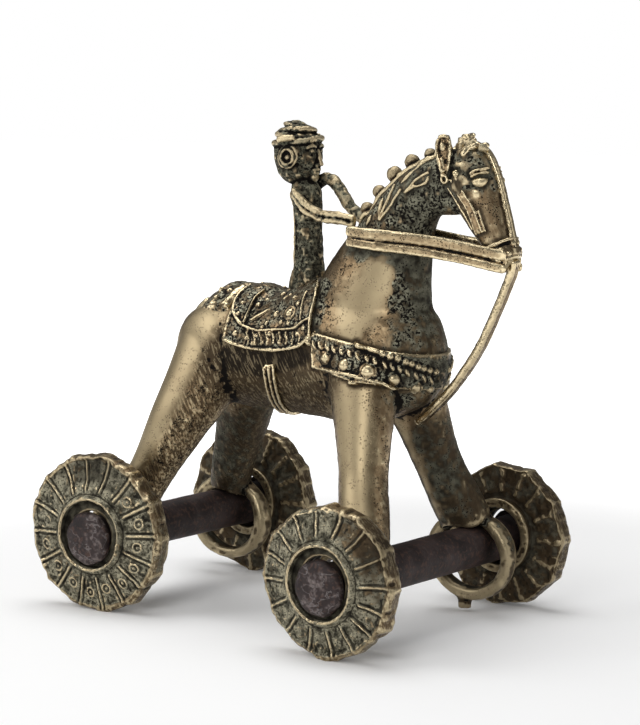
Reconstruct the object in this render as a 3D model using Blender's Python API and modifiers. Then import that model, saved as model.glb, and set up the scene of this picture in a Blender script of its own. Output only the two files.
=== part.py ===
"""Cast brass toy horse with a rider, on four wheels and two iron axles.

Blender 4.5. The sizes below are millimetres, and MM turns them into metres. +Z is up, the horse faces +X
and its right side is towards -Y. While it is built, x = 0 is halfway between the axles and z = 0 is the
ground. At the end an empty carries the whole toy, so that the origin lies under the middle of its box.
"""

import math

import bmesh
import bpy
import numpy as np
from mathutils import Vector
from mathutils.bvhtree import BVHTree

MM = 0.001

# Gaps kept between two pieces that touch
SEAT_GAP = 0.3
WRAP_GAP = 0.42
LOOSE_GAP = 0.6
FACET_ROOM = 0.1

# Wheels, turned about Y. The face is fluted, with a raised collar round the bore
WHEELBASE = 100.0
FRONT_WHEEL_RADIUS = 23.6
REAR_WHEEL_RADIUS = 25.4
FRONT_WHEEL_OUT = 47.6
REAR_WHEEL_OUT = 40.3
RIM_THICKNESS = 9.0
RIM_CHAMFER = 1.5
RIM_LIP = 1.6
FACE_DISH = 1.2
FLUTE_COUNT = 16
FLUTE_HEIGHT = 0.8
COLLAR_RADIUS = 13.0
COLLAR_WALL = 1.9
COLLAR_HEIGHT = 1.7
RECESS_DEPTH = 0.6
INNER_HUB_RADIUS = 12.2
INNER_HUB_HEIGHT = 1.5
POCKET_DEPTH = 4.5
POCKET_PLAY = 1.0

# Iron axles, spread at both ends so that the wheels stay on
AXLE_RADIUS = 6.9
AXLE_FACETS = 24
BORE_PLAY = 1.4
HEAD_SPREAD = 1.5
HEAD_FLARE = 1.6
HEAD_PROUD = 1.9

# Leg rings, which hang on the axles
RING_PLAY = 3.9
RING_WALL = 3.8
RING_WIDTH = 6.0
RING_ROUNDING = 1.1
RING_FACETS = 24
RING_STRETCH = 1.12
HOLE_LENGTH = 30.0
FRONT_RINGS_BEHIND = 1.6
FRONT_RINGS_Y = (29.9, -34.4)
REAR_RINGS_Y = (26.7, -26.7)
SPRUE_BEHIND = 2.4
SPRUE_RADIUS = 2.4
SPRUE_LENGTH = 3.6
SPRUE_TAPER = 0.9
SPRUE_SIDES = 10

# Horse: stations as (x, side, height, half width, half depth)
TORSO = (
    (-43.4, 0.0, 79.0, 3.0, 3.6),
    (-40.6, 0.0, 79.0, 8.6, 8.6),
    (-35.0, 0.0, 80.6, 12.8, 13.0),
    (-29.5, 0.0, 82.4, 15.4, 16.4),
    (-23.0, 0.0, 84.0, 16.4, 18.8),
    (-15.0, 0.0, 84.6, 16.6, 19.6),
    (-6.0, 0.0, 83.8, 16.2, 18.6),
    (4.0, 0.0, 84.5, 16.2, 20.2),
    (14.0, 0.0, 86.0, 16.6, 22.4),
    (26.0, 0.0, 87.0, 17.2, 23.2),
    (37.0, 0.0, 87.0, 16.6, 21.6),
    (46.0, 0.0, 86.8, 14.0, 18.0),
    (52.6, 0.0, 86.8, 9.8, 13.6),
    (56.6, 0.0, 87.0, 3.6, 6.0),
)
NECK = (
    (28.0, 0.0, 93.0, 14.4, 20.0),
    (32.2, 0.0, 104.6, 13.2, 19.8),
    (35.6, 0.0, 113.4, 11.2, 17.2),
    (39.4, 0.0, 121.6, 9.4, 13.8),
    (43.6, 0.0, 130.2, 8.2, 11.0),
    (49.8, 0.0, 137.3, 7.4, 9.2),
    (57.1, 0.0, 140.0, 6.8, 9.4),
    (64.0, 0.0, 139.8, 6.2, 9.4),
)
HEAD = (
    (64.4, 0.0, 151.2, 4.8, 5.2),
    (66.6, 0.0, 147.0, 6.8, 7.8),
    (69.2, 0.0, 140.6, 7.0, 8.8),
    (72.6, 0.0, 133.2, 6.0, 7.8),
    (76.4, 0.0, 126.2, 5.0, 6.2),
    (79.0, 0.0, 120.8, 4.4, 4.7),
    (80.4, 0.0, 117.2, 3.8, 4.0),
    (81.8, 0.0, 114.8, 2.0, 2.4),
)
EAR = (
    (63.4, 5.0, 139.0, 1.4, 1.6),
    (62.6, 5.4, 144.0, 1.8, 2.6),
    (61.8, 5.4, 149.0, 1.9, 3.1),
    (61.3, 5.2, 152.4, 1.7, 2.6),
    (61.0, 5.0, 155.0, 1.2, 1.8),
)
# Legs: here x and height count from the centre of the leg's ring
FRONT_LEG = (
    (-15.4, 8.0, 68.9, 9.4, 13.0),
    (-12.4, 12.0, 55.9, 9.2, 11.6),
    (-9.8, 15.4, 45.9, 8.4, 9.8),
    (-6.4, 20.2, 30.9, 7.5, 7.9),
    (-2.8, 24.8, 18.9, 7.8, 8.5),
    (-0.2, 28.4, 10.4, 7.2, 9.0),
)
REAR_LEG = (
    (23.0, 7.0, 65.1, 9.8, 14.0),
    (19.5, 12.0, 52.1, 9.6, 12.6),
    (14.0, 17.2, 39.1, 8.6, 10.2),
    (7.8, 20.6, 26.1, 7.3, 8.0),
    (3.0, 23.6, 15.6, 6.7, 7.4),
    (0.6, 25.4, 9.1, 5.8, 7.3),
)
RAY_REACH = 27.0
TUBE_SIDES = 20
EAR_SIDES = 10
TUBE_STEP = 2.5
SKIN_VOXEL = 2.0
SKIN_SMOOTHING = 4
SKIN_SHARE = 0.1

# Tail, which lies on the rump
TAIL_RADIUS = 2.4
TAIL_TOP = 99.0
TAIL_LENGTH = 30.0
TAIL_RAY_X = -35.0

# Mane: a strip along the crest with a row of beads
MANE_START = 28.0
MANE_END = 58.0
MANE_HALF_ANGLE = 24.0
MANE_THICKNESS = 1.3
BEAD_RADIUS = 2.0
BEAD_LIFT = 0.15
BEAD_COUNT = 6

# Saddle cloth, crupper cloth and girth, draped round the torso
CLOTH_REAR = -17.8
CLOTH_FRONT_TOP = 10.8
CLOTH_FRONT_LOW = 18.8
CLOTH_HALF_ANGLE = 88.0
CLOTH_THICKNESS = 1.5
CANTLE_RISE = 1.8
CANTLE_X = -13.0
CANTLE_LENGTH = 3.2
CANTLE_SPREAD = 0.7
CRUPPER_REAR = -31.0
CRUPPER_HALF_ANGLE = 46.0
CRUPPER_THICKNESS = 2.8
GIRTH_X_TOP = 1.7
GIRTH_X_LOW = -1.9
GIRTH_HALF_WIDTH = 1.9
GIRTH_THICKNESS = 1.3
GIRTH_START_ANGLE = 99.0

# Breast collar round the chest, with a row of bosses
COLLAR_BAND_AHEAD = 0.8
COLLAR_BAND_TURN = 38.0
COLLAR_BAND_BEND = 16.0
COLLAR_BAND_RISE = 1.0
COLLAR_BAND_DROP = 5.4
COLLAR_BAND_HALF = 5.5
COLLAR_BAND_THICKNESS = 1.6
BOSS_RADIUS = 2.0
BOSS_COUNT = 12

# Bridle, reins and the strap from the muzzle to the chest
NOSEBAND_AT = 34.6
NOSEBAND_HALF = 3.0
NOSEBAND_THICKNESS = 1.3
CHEEK_STRAP_START = 8.0
CHEEK_STRAP_ANGLE = 102.0
CHEEK_STRAP_HALF = 2.5
NOSE_STRAP_START = 5.0
NOSE_STRAP_HALF = 1.2
STRAP_THICKNESS = 1.1
REIN_REAR = (28.0, 123.6)
REIN_FRONT = (82.6, 117.8)
REIN_SAG = 0.9
REIN_HALF_HEIGHT_REAR = 2.9
REIN_HALF_HEIGHT_FRONT = 3.5
REIN_HALF_THICKNESS = 1.1
REIN_SIDES = 10
MARTINGALE = (
    (83.4, 118.6),
    (82.8, 114.6),
    (80.6, 109.6),
    (77.8, 103.4),
    (74.4, 96.6),
    (70.2, 89.0),
    (65.0, 82.0),
    (59.4, 75.6),
    (53.5, 70.1),
    (48.0, 65.6),
)
MARTINGALE_RADIUS = 1.9

# Rider: stations as for the horse
RIDER_TRUNK = (
    (5.0, 0.0, 101.0, 5.4, 7.0),
    (5.0, 0.0, 108.0, 5.2, 6.4),
    (5.2, 0.0, 114.0, 4.5, 4.8),
    (5.4, 0.0, 122.0, 4.2, 4.1),
    (5.0, 0.0, 130.0, 4.7, 4.4),
    (4.0, 0.0, 135.6, 5.8, 4.7),
    (3.0, 0.0, 139.4, 3.6, 3.8),
    (2.0, 0.0, 143.0, 3.2, 3.6),
)
RIDER_HEAD = (
    (1.0, 0.0, 138.6, 3.4, 3.8),
    (0.9, 0.0, 141.6, 6.4, 7.2),
    (0.9, 0.0, 146.5, 7.6, 8.6),
    (0.7, 0.0, 151.5, 7.2, 8.0),
    (0.2, 0.0, 155.5, 5.0, 5.4),
    (-0.2, 0.0, 158.4, 2.2, 2.6),
)
RIGHT_ARM = (
    (3.0, -4.6, 136.6),
    (8.0, -5.8, 132.0),
    (14.2, -5.6, 129.2),
    (21.0, -4.6, 128.6),
    (26.5, -3.4, 127.6),
)
LEFT_ARM = (
    (4.0, 4.6, 137.6),
    (8.4, 4.8, 140.2),
    (12.0, 4.6, 139.0),
    (15.4, 4.4, 135.6),
    (19.0, 4.0, 131.4),
    (26.0, 3.2, 127.4),
)
ARM_RADIUS = 2.0
RIDER_VOXEL = 1.25
RIDER_SMOOTHING = 2
RIDER_SHARE = 0.17

BRASS = (0.42, 0.33, 0.17)
PATINA = (0.30, 0.28, 0.17)
IRON = (0.075, 0.06, 0.055)


def clear_scene():
    for obj in list(bpy.data.objects):
        bpy.data.objects.remove(obj, do_unlink=True)


def new_collection(name):
    made = bpy.data.collections.new(name)
    bpy.context.scene.collection.children.link(made)
    return made


def metal(name, color, roughness):
    material = bpy.data.materials.new(name)
    material.use_nodes = True
    shader = material.node_tree.nodes["Principled BSDF"]
    shader.inputs["Base Color"].default_value = (*color, 1.0)
    shader.inputs["Metallic"].default_value = 1.0
    shader.inputs["Roughness"].default_value = roughness
    return material


def mesh_from(name, points, faces):
    """A mesh of points in millimetres, with its doubles merged and its faces turned outwards."""
    mesh = bpy.data.meshes.new(name)
    mesh.from_pydata([tuple(point) for point in np.asarray(points, float) * MM], [], faces)
    return tidied(mesh)


def tidied(mesh):
    work = bmesh.new()
    work.from_mesh(mesh)
    bmesh.ops.remove_doubles(work, verts=work.verts, dist=0.002 * MM)
    bmesh.ops.recalc_face_normals(work, faces=work.faces)
    work.to_mesh(mesh)
    work.free()
    return mesh


def helper(mesh):
    """An object for a cutter or for a piece that is still being made. It is never a node."""
    obj = bpy.data.objects.new(mesh.name + "_helper", mesh)
    cutters.objects.link(obj)
    obj.hide_render = True
    obj.display_type = "WIRE"
    return obj


def applied(obj, name):
    """The object's mesh with its modifiers applied. The object itself is removed."""
    bpy.context.view_layer.update()
    graph = bpy.context.evaluated_depsgraph_get()
    mesh = bpy.data.meshes.new_from_object(obj.evaluated_get(graph))
    mesh.name = name
    mesh.transform(obj.matrix_world)
    bpy.data.objects.remove(obj, do_unlink=True)
    return tidied(mesh)


def combined(mesh, others, operation):
    """The mesh after a Boolean with each of the others in turn."""
    name = mesh.name
    obj = helper(mesh)
    tools = []
    for other in others:
        tool = helper(other)
        boolean = obj.modifiers.new("join_or_cut", "BOOLEAN")
        boolean.operation = operation
        boolean.solver = "EXACT"
        boolean.object = tool
        tools.append(tool)
    result = applied(obj, name)
    for tool in tools:
        bpy.data.objects.remove(tool, do_unlink=True)
    return result


def largest_body(mesh):
    """Keeps the mesh's biggest island, which drops the crumbs that a cut leaves."""
    work = bmesh.new()
    work.from_mesh(mesh)
    left = set(work.verts)
    islands = []
    while left:
        seed = left.pop()
        island, front = {seed}, [seed]
        while front:
            for edge in front.pop().link_edges:
                for vert in edge.verts:
                    if vert not in island:
                        island.add(vert)
                        front.append(vert)
        left -= island
        islands.append(island)
    islands.sort(key=len)
    crumbs = [vert for island in islands[:-1] for vert in island]
    bmesh.ops.delete(work, geom=crumbs, context="VERTS")
    work.to_mesh(mesh)
    work.free()
    return mesh


def inflated(mesh, distance):
    """A copy of the mesh with its skin moved outwards, which cuts its neighbours clear of it."""
    obj = helper(mesh.copy())
    displace = obj.modifiers.new("clearance", "DISPLACE")
    displace.strength = distance * MM
    displace.mid_level = 0.0
    return applied(obj, mesh.name + "_clearance")


def fused(name, meshes, voxel, smoothing, share):
    """One skin over overlapping closed meshes: a voxel remesh, smoothed and then thinned out."""
    work = bmesh.new()
    for mesh in meshes:
        work.from_mesh(mesh)
    joined = bpy.data.meshes.new(name)
    work.to_mesh(joined)
    work.free()
    obj = helper(joined)
    remesh = obj.modifiers.new("remesh", "REMESH")
    remesh.mode = "VOXEL"
    remesh.voxel_size = voxel * MM
    smooth = obj.modifiers.new("smooth", "SMOOTH")
    smooth.factor = 0.5
    smooth.iterations = smoothing
    thin = obj.modifiers.new("thin_out", "DECIMATE")
    thin.ratio = share
    return largest_body(applied(obj, name))


def node(name, mesh, material, location=(0.0, 0.0, 0.0)):
    """A finished piece. Its location is in millimetres and lies on its joint's axis if it moves."""
    mesh.name = name
    mesh.materials.clear()
    mesh.materials.append(material)
    mesh.shade_smooth()
    mesh.set_sharp_from_angle(angle=math.radians(35.0))
    obj = bpy.data.objects.new(name, mesh)
    obj.location = Vector(location) * MM
    obj.parent = carrier
    parts.objects.link(obj)
    return obj


def spline(stations, step):
    """Catmull-Rom rows about one step apart through the stations, with every column carried along."""
    rows = np.array(stations, float)
    padded = np.vstack([2 * rows[0] - rows[1], rows, 2 * rows[-1] - rows[-2]])
    out = []
    for a, b, c, d in zip(padded, padded[1:], padded[2:], padded[3:]):
        count = max(1, round(float(np.linalg.norm((c - b)[:3])) / step))
        t = (np.arange(count) / count)[:, None]
        bend = (2 * a - 5 * b + 4 * c - d) * t**2 + (3 * b - a - 3 * c + d) * t**3
        out.append(0.5 * (2 * b + (c - a) * t + bend))
    return np.vstack(out + [rows[-1:]])


def frames(path):
    """Unit tangent, sideways and depth directions along a path, with sideways as near +Y as it can be."""
    tangent = np.gradient(path, axis=0)
    tangent /= np.linalg.norm(tangent, axis=1, keepdims=True)
    side = np.array([0.0, 1.0, 0.0]) - tangent * tangent[:, 1:2]
    side /= np.linalg.norm(side, axis=1, keepdims=True)
    return tangent, side, np.cross(tangent, side)


def tube(name, rows, sides=TUBE_SIDES):
    """A closed tube of elliptical sections. A row is x, side, height, half width, half depth."""
    rows = np.asarray(rows, float)
    _, side, depth = frames(rows[:, :3])
    angle = np.arange(sides) * 2 * math.pi / sides
    across = np.cos(angle)[None, :, None] * (side * rows[:, 3:4])[:, None, :]
    upright = np.sin(angle)[None, :, None] * (depth * rows[:, 4:5])[:, None, :]
    points = (rows[:, None, :3] + across + upright).reshape(-1, 3)
    faces = []
    for ring in range(len(rows) - 1):
        for k in range(sides):
            low, high = ring * sides, (ring + 1) * sides
            following = (k + 1) % sides
            faces.append((low + k, low + following, high + following, high + k))
    last = (len(rows) - 1) * sides
    faces.append(tuple(range(sides)))
    faces.append(tuple(range(last + sides - 1, last - 1, -1)))
    return mesh_from(name, points, faces)


def mirrored(rows):
    return np.array(rows, float) * (1, -1, 1, 1, 1)[: len(rows[0])]


def wire(name, points, radius):
    """A round tube along points, from a curve with a bevel and filled caps."""
    curve = bpy.data.curves.new(name, "CURVE")
    curve.dimensions = "3D"
    curve.bevel_depth = radius * MM
    curve.bevel_resolution = 2
    curve.use_fill_caps = True
    line = curve.splines.new("POLY")
    line.points.add(len(points) - 1)
    for target, point in zip(line.points, points):
        target.co = (*(np.asarray(point, float) * MM), 1.0)
    obj = bpy.data.objects.new(name, curve)
    cutters.objects.link(obj)
    obj.hide_render = True
    return applied(obj, name)


def turned(name, profile, facets):
    """A solid turned about Y. The profile is a loop of (radius, place along Y), or ends on the axis."""
    mesh = bpy.data.meshes.new(name)
    half_turn = math.pi / facets
    points = [(r * math.cos(half_turn) * MM, y * MM, r * math.sin(half_turn) * MM) for r, y in profile]
    on_axis = profile[0][0] == 0.0
    edges = [(i, i + 1) for i in range(len(points) - 1)]
    mesh.from_pydata(points, edges if on_axis else edges + [(len(points) - 1, 0)], [])
    obj = helper(mesh)
    screw = obj.modifiers.new("turn", "SCREW")
    screw.axis = "Y"
    screw.steps = screw.render_steps = facets
    screw.use_merge_vertices = True
    screw.merge_threshold = 0.01 * MM
    return applied(obj, name)


def rays_onto(tree, centre, outwards):
    """Where rays from outside, back along the outward directions, first meet the skin."""
    flat_centre = np.asarray(centre).reshape(-1, 3)
    flat_out = np.asarray(outwards).reshape(-1, 3)
    hits = []
    for middle, out in zip(flat_centre, flat_out):
        start = Vector((middle + out * RAY_REACH) * MM)
        hit = tree.ray_cast(start, Vector(-out))[0]
        hits.append(np.array(hit if hit is not None else middle * MM) / MM)
    return np.array(hits).reshape(np.asarray(outwards).shape)


def drape(name, tree, centre, outwards, gap, thickness, closed=False):
    """A sheet that lies on the skin: its inner face follows the ray hits, a gap above them."""
    hits = rays_onto(tree, centre, outwards)
    if closed:
        along = (np.roll(hits, -1, axis=0) - np.roll(hits, 1, axis=0)) / 2
    else:
        along = np.gradient(hits, axis=0)
    normal = np.cross(along, np.gradient(hits, axis=1))
    normal /= np.linalg.norm(normal, axis=2, keepdims=True)
    normal *= np.sign((normal * outwards).sum(axis=2, keepdims=True))
    thick = np.broadcast_to(np.asarray(thickness, float), hits.shape[:2])[..., None]
    inner = hits + normal * gap
    outer = inner + normal * thick
    rows, columns = hits.shape[:2]
    points = np.vstack([inner.reshape(-1, 3), outer.reshape(-1, 3)])
    shift = rows * columns
    faces = []
    spans = rows if closed else rows - 1
    for i in range(spans):
        j = (i + 1) % rows
        for k in range(columns - 1):
            a, b, c, d = i * columns + k, i * columns + k + 1, j * columns + k + 1, j * columns + k
            faces.append((a, b, c, d))
            faces.append((a + shift, d + shift, c + shift, b + shift))
        for k in (0, columns - 1):
            a, d = i * columns + k, j * columns + k
            faces.append((a, d, d + shift, a + shift))
    if not closed:
        for i in (0, rows - 1):
            for k in range(columns - 1):
                a, b = i * columns + k, i * columns + k + 1
                faces.append((a, b, b + shift, a + shift))
    return mesh_from(name, points, faces), hits, normal


def round_torso(x, angle):
    """Centre points and outward directions for rays at an angle from the top of the torso."""
    heights = np.interp(x, [row[0] for row in TORSO], [row[2] for row in TORSO])
    centre = np.stack([x, np.zeros_like(x), heights], axis=-1)
    outwards = np.stack([np.zeros_like(x), np.sin(angle), np.cos(angle)], axis=-1)
    return centre, outwards


def round_path(stations, along, angle):
    """The same round the neck, from its crest, or round the head, from the nose, along millimetres on."""
    fine = spline(stations, TUBE_STEP)
    steps = np.linalg.norm(np.diff(fine[:, :3], axis=0), axis=1)
    lengths = np.concatenate([[0.0], np.cumsum(steps)])
    _, side, depth = frames(fine[:, :3])
    pick = [np.interp(along, lengths, column) for column in np.hstack([fine[:, :3], side, depth]).T]
    centre = np.stack(pick[:3], axis=-1)
    sideways = np.stack(pick[3:6], axis=-1)
    crestwards = np.stack(pick[6:], axis=-1)
    outwards = np.cos(angle)[..., None] * crestwards + np.sin(angle)[..., None] * sideways
    return centre, outwards


def wheel(name, radius):
    """One wheel about its own centre, with its outer face towards +Y."""
    half = RIM_THICKNESS / 2
    bore = AXLE_RADIUS + BORE_PLAY
    pocket = bore + POCKET_PLAY
    face = half - FACE_DISH
    profile = [
        (bore, half - RECESS_DEPTH),
        (COLLAR_RADIUS - COLLAR_WALL, half - RECESS_DEPTH),
        (COLLAR_RADIUS - COLLAR_WALL, half + COLLAR_HEIGHT),
        (COLLAR_RADIUS, half + COLLAR_HEIGHT / 2),
        (COLLAR_RADIUS, face),
        (radius - RIM_CHAMFER - RIM_LIP, face),
        (radius - RIM_CHAMFER, half),
        (radius, half - RIM_CHAMFER),
        (radius, RIM_CHAMFER - half),
        (radius - RIM_CHAMFER, -half),
        (radius - RIM_CHAMFER - RIM_LIP, -face),
        (INNER_HUB_RADIUS, -face),
        (INNER_HUB_RADIUS, -half - INNER_HUB_HEIGHT),
        (pocket, -half - INNER_HUB_HEIGHT),
        (pocket, POCKET_DEPTH - half),
        (bore, POCKET_DEPTH - half),
    ]
    mesh = turned(name, profile, 2 * FLUTE_COUNT)
    low, high = COLLAR_RADIUS + FACET_ROOM, radius - RIM_CHAMFER - RIM_LIP + FACET_ROOM
    for vert in mesh.vertices:
        x, y, z = vert.co / MM
        column = round((math.atan2(z, x) / math.pi * FLUTE_COUNT) - 0.5)
        if low < math.hypot(x, z) < high and y > 0 and column % 2 == 0:
            vert.co.y += FLUTE_HEIGHT * MM
    return mesh


def axle(name, wheel_out):
    """An iron bar with both ends spread in the wheels' recesses."""
    floor = wheel_out + RIM_THICKNESS / 2 - RECESS_DEPTH
    shoulder = floor + SEAT_GAP
    end = wheel_out + RIM_THICKNESS / 2 + COLLAR_HEIGHT + HEAD_PROUD
    head = AXLE_RADIUS + HEAD_SPREAD
    outline = [
        (0.0, end),
        (AXLE_RADIUS, end),
        (head, end - HEAD_FLARE),
        (head, shoulder),
        (AXLE_RADIUS, shoulder),
    ]
    return turned(name, outline + [(r, -y) for r, y in reversed(outline)], AXLE_FACETS)


def leg_ring(radius_in):
    outer, half = radius_in + RING_WALL, RING_WIDTH / 2
    profile = [
        (radius_in, half),
        (outer - RING_ROUNDING, half),
        (outer, half - RING_ROUNDING),
        (outer, RING_ROUNDING - half),
        (outer - RING_ROUNDING, -half),
        (radius_in, -half),
    ]
    return stretched(turned("ring", profile, RING_FACETS))


def hole_cutter(radius_in):
    half = HOLE_LENGTH / 2
    profile = [(0.0, half), (radius_in, half), (radius_in, -half), (0.0, -half)]
    return stretched(turned("ring_hole", profile, RING_FACETS))


def stretched(mesh):
    """The rings are a little longer than they are high."""
    for vert in mesh.vertices:
        vert.co.x *= RING_STRETCH
    return mesh


def moved(mesh, place):
    for vert in mesh.vertices:
        vert.co += Vector(place) * MM
    return mesh


def wheel_height(radius):
    """Height of a wheel's centre when it stands on one flat facet of its tread."""
    return radius * math.cos(math.pi / (2 * FLUTE_COUNT))


def axle_height(radius):
    """The axle lies on the bottom of its wheels' bores."""
    return wheel_height(radius) - BORE_PLAY + SEAT_GAP


def ring_height(radius):
    """A ring hangs with the top of its hole on the axle."""
    return axle_height(radius) - RING_PLAY + 2 * SEAT_GAP


def make_horse():
    tubes = [tube("trunk", spline(stations, TUBE_STEP)) for stations in (TORSO, NECK, HEAD)]
    inside = AXLE_RADIUS + RING_PLAY
    front_x = WHEELBASE / 2 - FRONT_RINGS_BEHIND
    additions, holes = [], []
    for leg, x, places, radius in (
        (FRONT_LEG, front_x, FRONT_RINGS_Y, FRONT_WHEEL_RADIUS),
        (REAR_LEG, -WHEELBASE / 2, REAR_RINGS_Y, REAR_WHEEL_RADIUS),
    ):
        height = ring_height(radius)
        rows = spline(leg, TUBE_STEP) + (x, 0.0, height, 0.0, 0.0)
        tubes += [tube("leg", rows), tube("leg", mirrored(rows))]
        for y in places:
            additions.append(moved(leg_ring(inside), (x, y, height)))
            holes.append(moved(hole_cutter(inside), (x, y, height)))
    skin = fused("horse_body", tubes, SKIN_VOXEL, SKIN_SMOOTHING, SKIN_SHARE)
    ear_rows = spline(EAR, TUBE_STEP)
    additions += [tube("ear", ear_rows, EAR_SIDES), tube("ear", mirrored(ear_rows), EAR_SIDES)]
    foot = ring_height(FRONT_WHEEL_RADIUS) - inside - RING_WALL
    tip = SPRUE_RADIUS * SPRUE_TAPER
    peg = (
        (front_x - SPRUE_BEHIND, FRONT_RINGS_Y[0], foot + RING_WALL / 2, SPRUE_RADIUS, SPRUE_RADIUS),
        (front_x - SPRUE_BEHIND, FRONT_RINGS_Y[0], foot - SPRUE_LENGTH, tip, tip),
    )
    additions.append(tube("sprue", peg, SPRUE_SIDES))
    skin = combined(skin, additions, "UNION")
    return combined(skin, holes, "DIFFERENCE")


def balls(line, count, radius, smoothness):
    """Small balls spaced out along a line of points, with a half space at both ends."""
    shares = (np.arange(count) + 0.5) / count
    made = []
    for share in shares:
        centre = [np.interp(share, np.linspace(0.0, 1.0, len(line)), column) for column in line.T]
        work = bmesh.new()
        bmesh.ops.create_icosphere(work, subdivisions=smoothness, radius=radius * MM)
        ball = bpy.data.meshes.new("ball")
        work.to_mesh(ball)
        work.free()
        made.append(moved(ball, centre))
    return made


def make_mane(tree):
    place, angle = np.meshgrid(
        np.linspace(MANE_START, MANE_END, 18),
        np.radians(np.linspace(-MANE_HALF_ANGLE, MANE_HALF_ANGLE, 5)),
        indexing="ij",
    )
    strip, skin, normal = drape("mane", tree, *round_path(NECK, place, angle), WRAP_GAP, MANE_THICKNESS)
    middle = place.shape[1] // 2
    crest = skin[:, middle] + normal[:, middle] * (WRAP_GAP + BEAD_RADIUS + BEAD_LIFT)
    return combined(strip, balls(crest, BEAD_COUNT, BEAD_RADIUS, 2), "UNION")


def make_saddle_cloth(tree):
    angle_line = np.radians(np.linspace(-CLOTH_HALF_ANGLE, CLOTH_HALF_ANGLE, 19))
    share, angle = np.meshgrid(np.linspace(0.0, 1.0, 10), angle_line, indexing="ij")
    low = (np.abs(angle) / math.radians(CLOTH_HALF_ANGLE)) ** 1.5
    front = CLOTH_FRONT_TOP + (CLOTH_FRONT_LOW - CLOTH_FRONT_TOP) * low
    x = CLOTH_REAR + (front - CLOTH_REAR) * share
    rise = CANTLE_RISE * np.exp(-(((x - CANTLE_X) / CANTLE_LENGTH) ** 2) - (angle / CANTLE_SPREAD) ** 2)
    return drape("saddle_cloth", tree, *round_torso(x, angle), WRAP_GAP, CLOTH_THICKNESS + rise)[0]


def make_crupper_cloth(tree):
    angle_line = np.radians(np.linspace(-CRUPPER_HALF_ANGLE, CRUPPER_HALF_ANGLE, 13))
    share, angle = np.meshgrid(np.linspace(0.0, 1.0, 8), angle_line, indexing="ij")
    front = CLOTH_REAR - SEAT_GAP * 2
    x = CRUPPER_REAR + (front - CRUPPER_REAR) * share
    return drape("crupper_cloth", tree, *round_torso(x, angle), WRAP_GAP, CRUPPER_THICKNESS)[0]


def make_girth(tree):
    angle, across = np.meshgrid(
        np.radians(np.linspace(GIRTH_START_ANGLE, 360.0 - GIRTH_START_ANGLE, 21)),
        np.linspace(-GIRTH_HALF_WIDTH, GIRTH_HALF_WIDTH, 3),
        indexing="ij",
    )
    drop = np.sin((np.abs(angle - math.pi) / (math.pi - math.radians(GIRTH_START_ANGLE))) * math.pi / 2)
    x = GIRTH_X_LOW + (GIRTH_X_TOP - GIRTH_X_LOW) * drop + across
    return drape("girth_strap", tree, *round_torso(x, angle), WRAP_GAP, GIRTH_THICKNESS)[0]


def collar_grid(share, up):
    """Rays for the breast collar: along one side, round the chest and back along the other side."""
    rear = CLOTH_FRONT_LOW + COLLAR_BAND_AHEAD
    straight = COLLAR_BAND_TURN - rear
    bend = math.pi * COLLAR_BAND_BEND
    length = 2 * straight + bend
    run = share * length
    turn = np.clip((run - straight) / bend, 0.0, 1.0) * math.pi
    x = COLLAR_BAND_TURN - np.maximum(straight - run, 0.0) - np.maximum(run - straight - bend, 0.0)
    forward = np.sin(turn)
    low = (x - rear) / straight * 0.5 + forward * 0.5
    chest = np.interp(COLLAR_BAND_TURN, [row[0] for row in TORSO], [row[2] for row in TORSO])
    z = chest + COLLAR_BAND_RISE - COLLAR_BAND_DROP * low + up
    centre = np.stack([x, np.zeros_like(x), z], axis=-1)
    outwards = np.stack([forward, -np.cos(turn), np.zeros_like(x)], axis=-1)
    return centre, outwards


def make_breast_collar(tree):
    across = np.linspace(-COLLAR_BAND_HALF, COLLAR_BAND_HALF, 5)
    share, up = np.meshgrid(np.linspace(0.0, 1.0, 27), across, indexing="ij")
    rays = collar_grid(share, up)
    band, skin, normal = drape("breast_collar", tree, *rays, LOOSE_GAP, COLLAR_BAND_THICKNESS)
    row = skin[:, 1] + normal[:, 1] * (LOOSE_GAP + BOSS_RADIUS + BEAD_LIFT)
    return combined(band, balls(row, BOSS_COUNT, BOSS_RADIUS, 1), "UNION")


def make_noseband(tree):
    turn, along = np.meshgrid(
        np.radians(np.arange(24) * 15.0),
        NOSEBAND_AT + np.linspace(-NOSEBAND_HALF, NOSEBAND_HALF, 3),
        indexing="ij",
    )
    rays = round_path(HEAD, along, turn)
    return drape("noseband", tree, *rays, WRAP_GAP, NOSEBAND_THICKNESS, closed=True)[0]


def make_head_strap(name, tree, start, middle, half_width):
    """A flat strap down the head to just short of the noseband. The middle is an angle from the nose."""
    end = NOSEBAND_AT - NOSEBAND_HALF - SEAT_GAP
    along, across = np.meshgrid(np.linspace(start, end, 10), (-1.0, 0.0, 1.0), indexing="ij")
    depths = np.array(HEAD)[:, 4]
    angle = math.radians(middle) + across * half_width / float(depths[1:5].mean())
    return drape(name, tree, *round_path(HEAD, along, angle), WRAP_GAP, STRAP_THICKNESS)[0]


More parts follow.
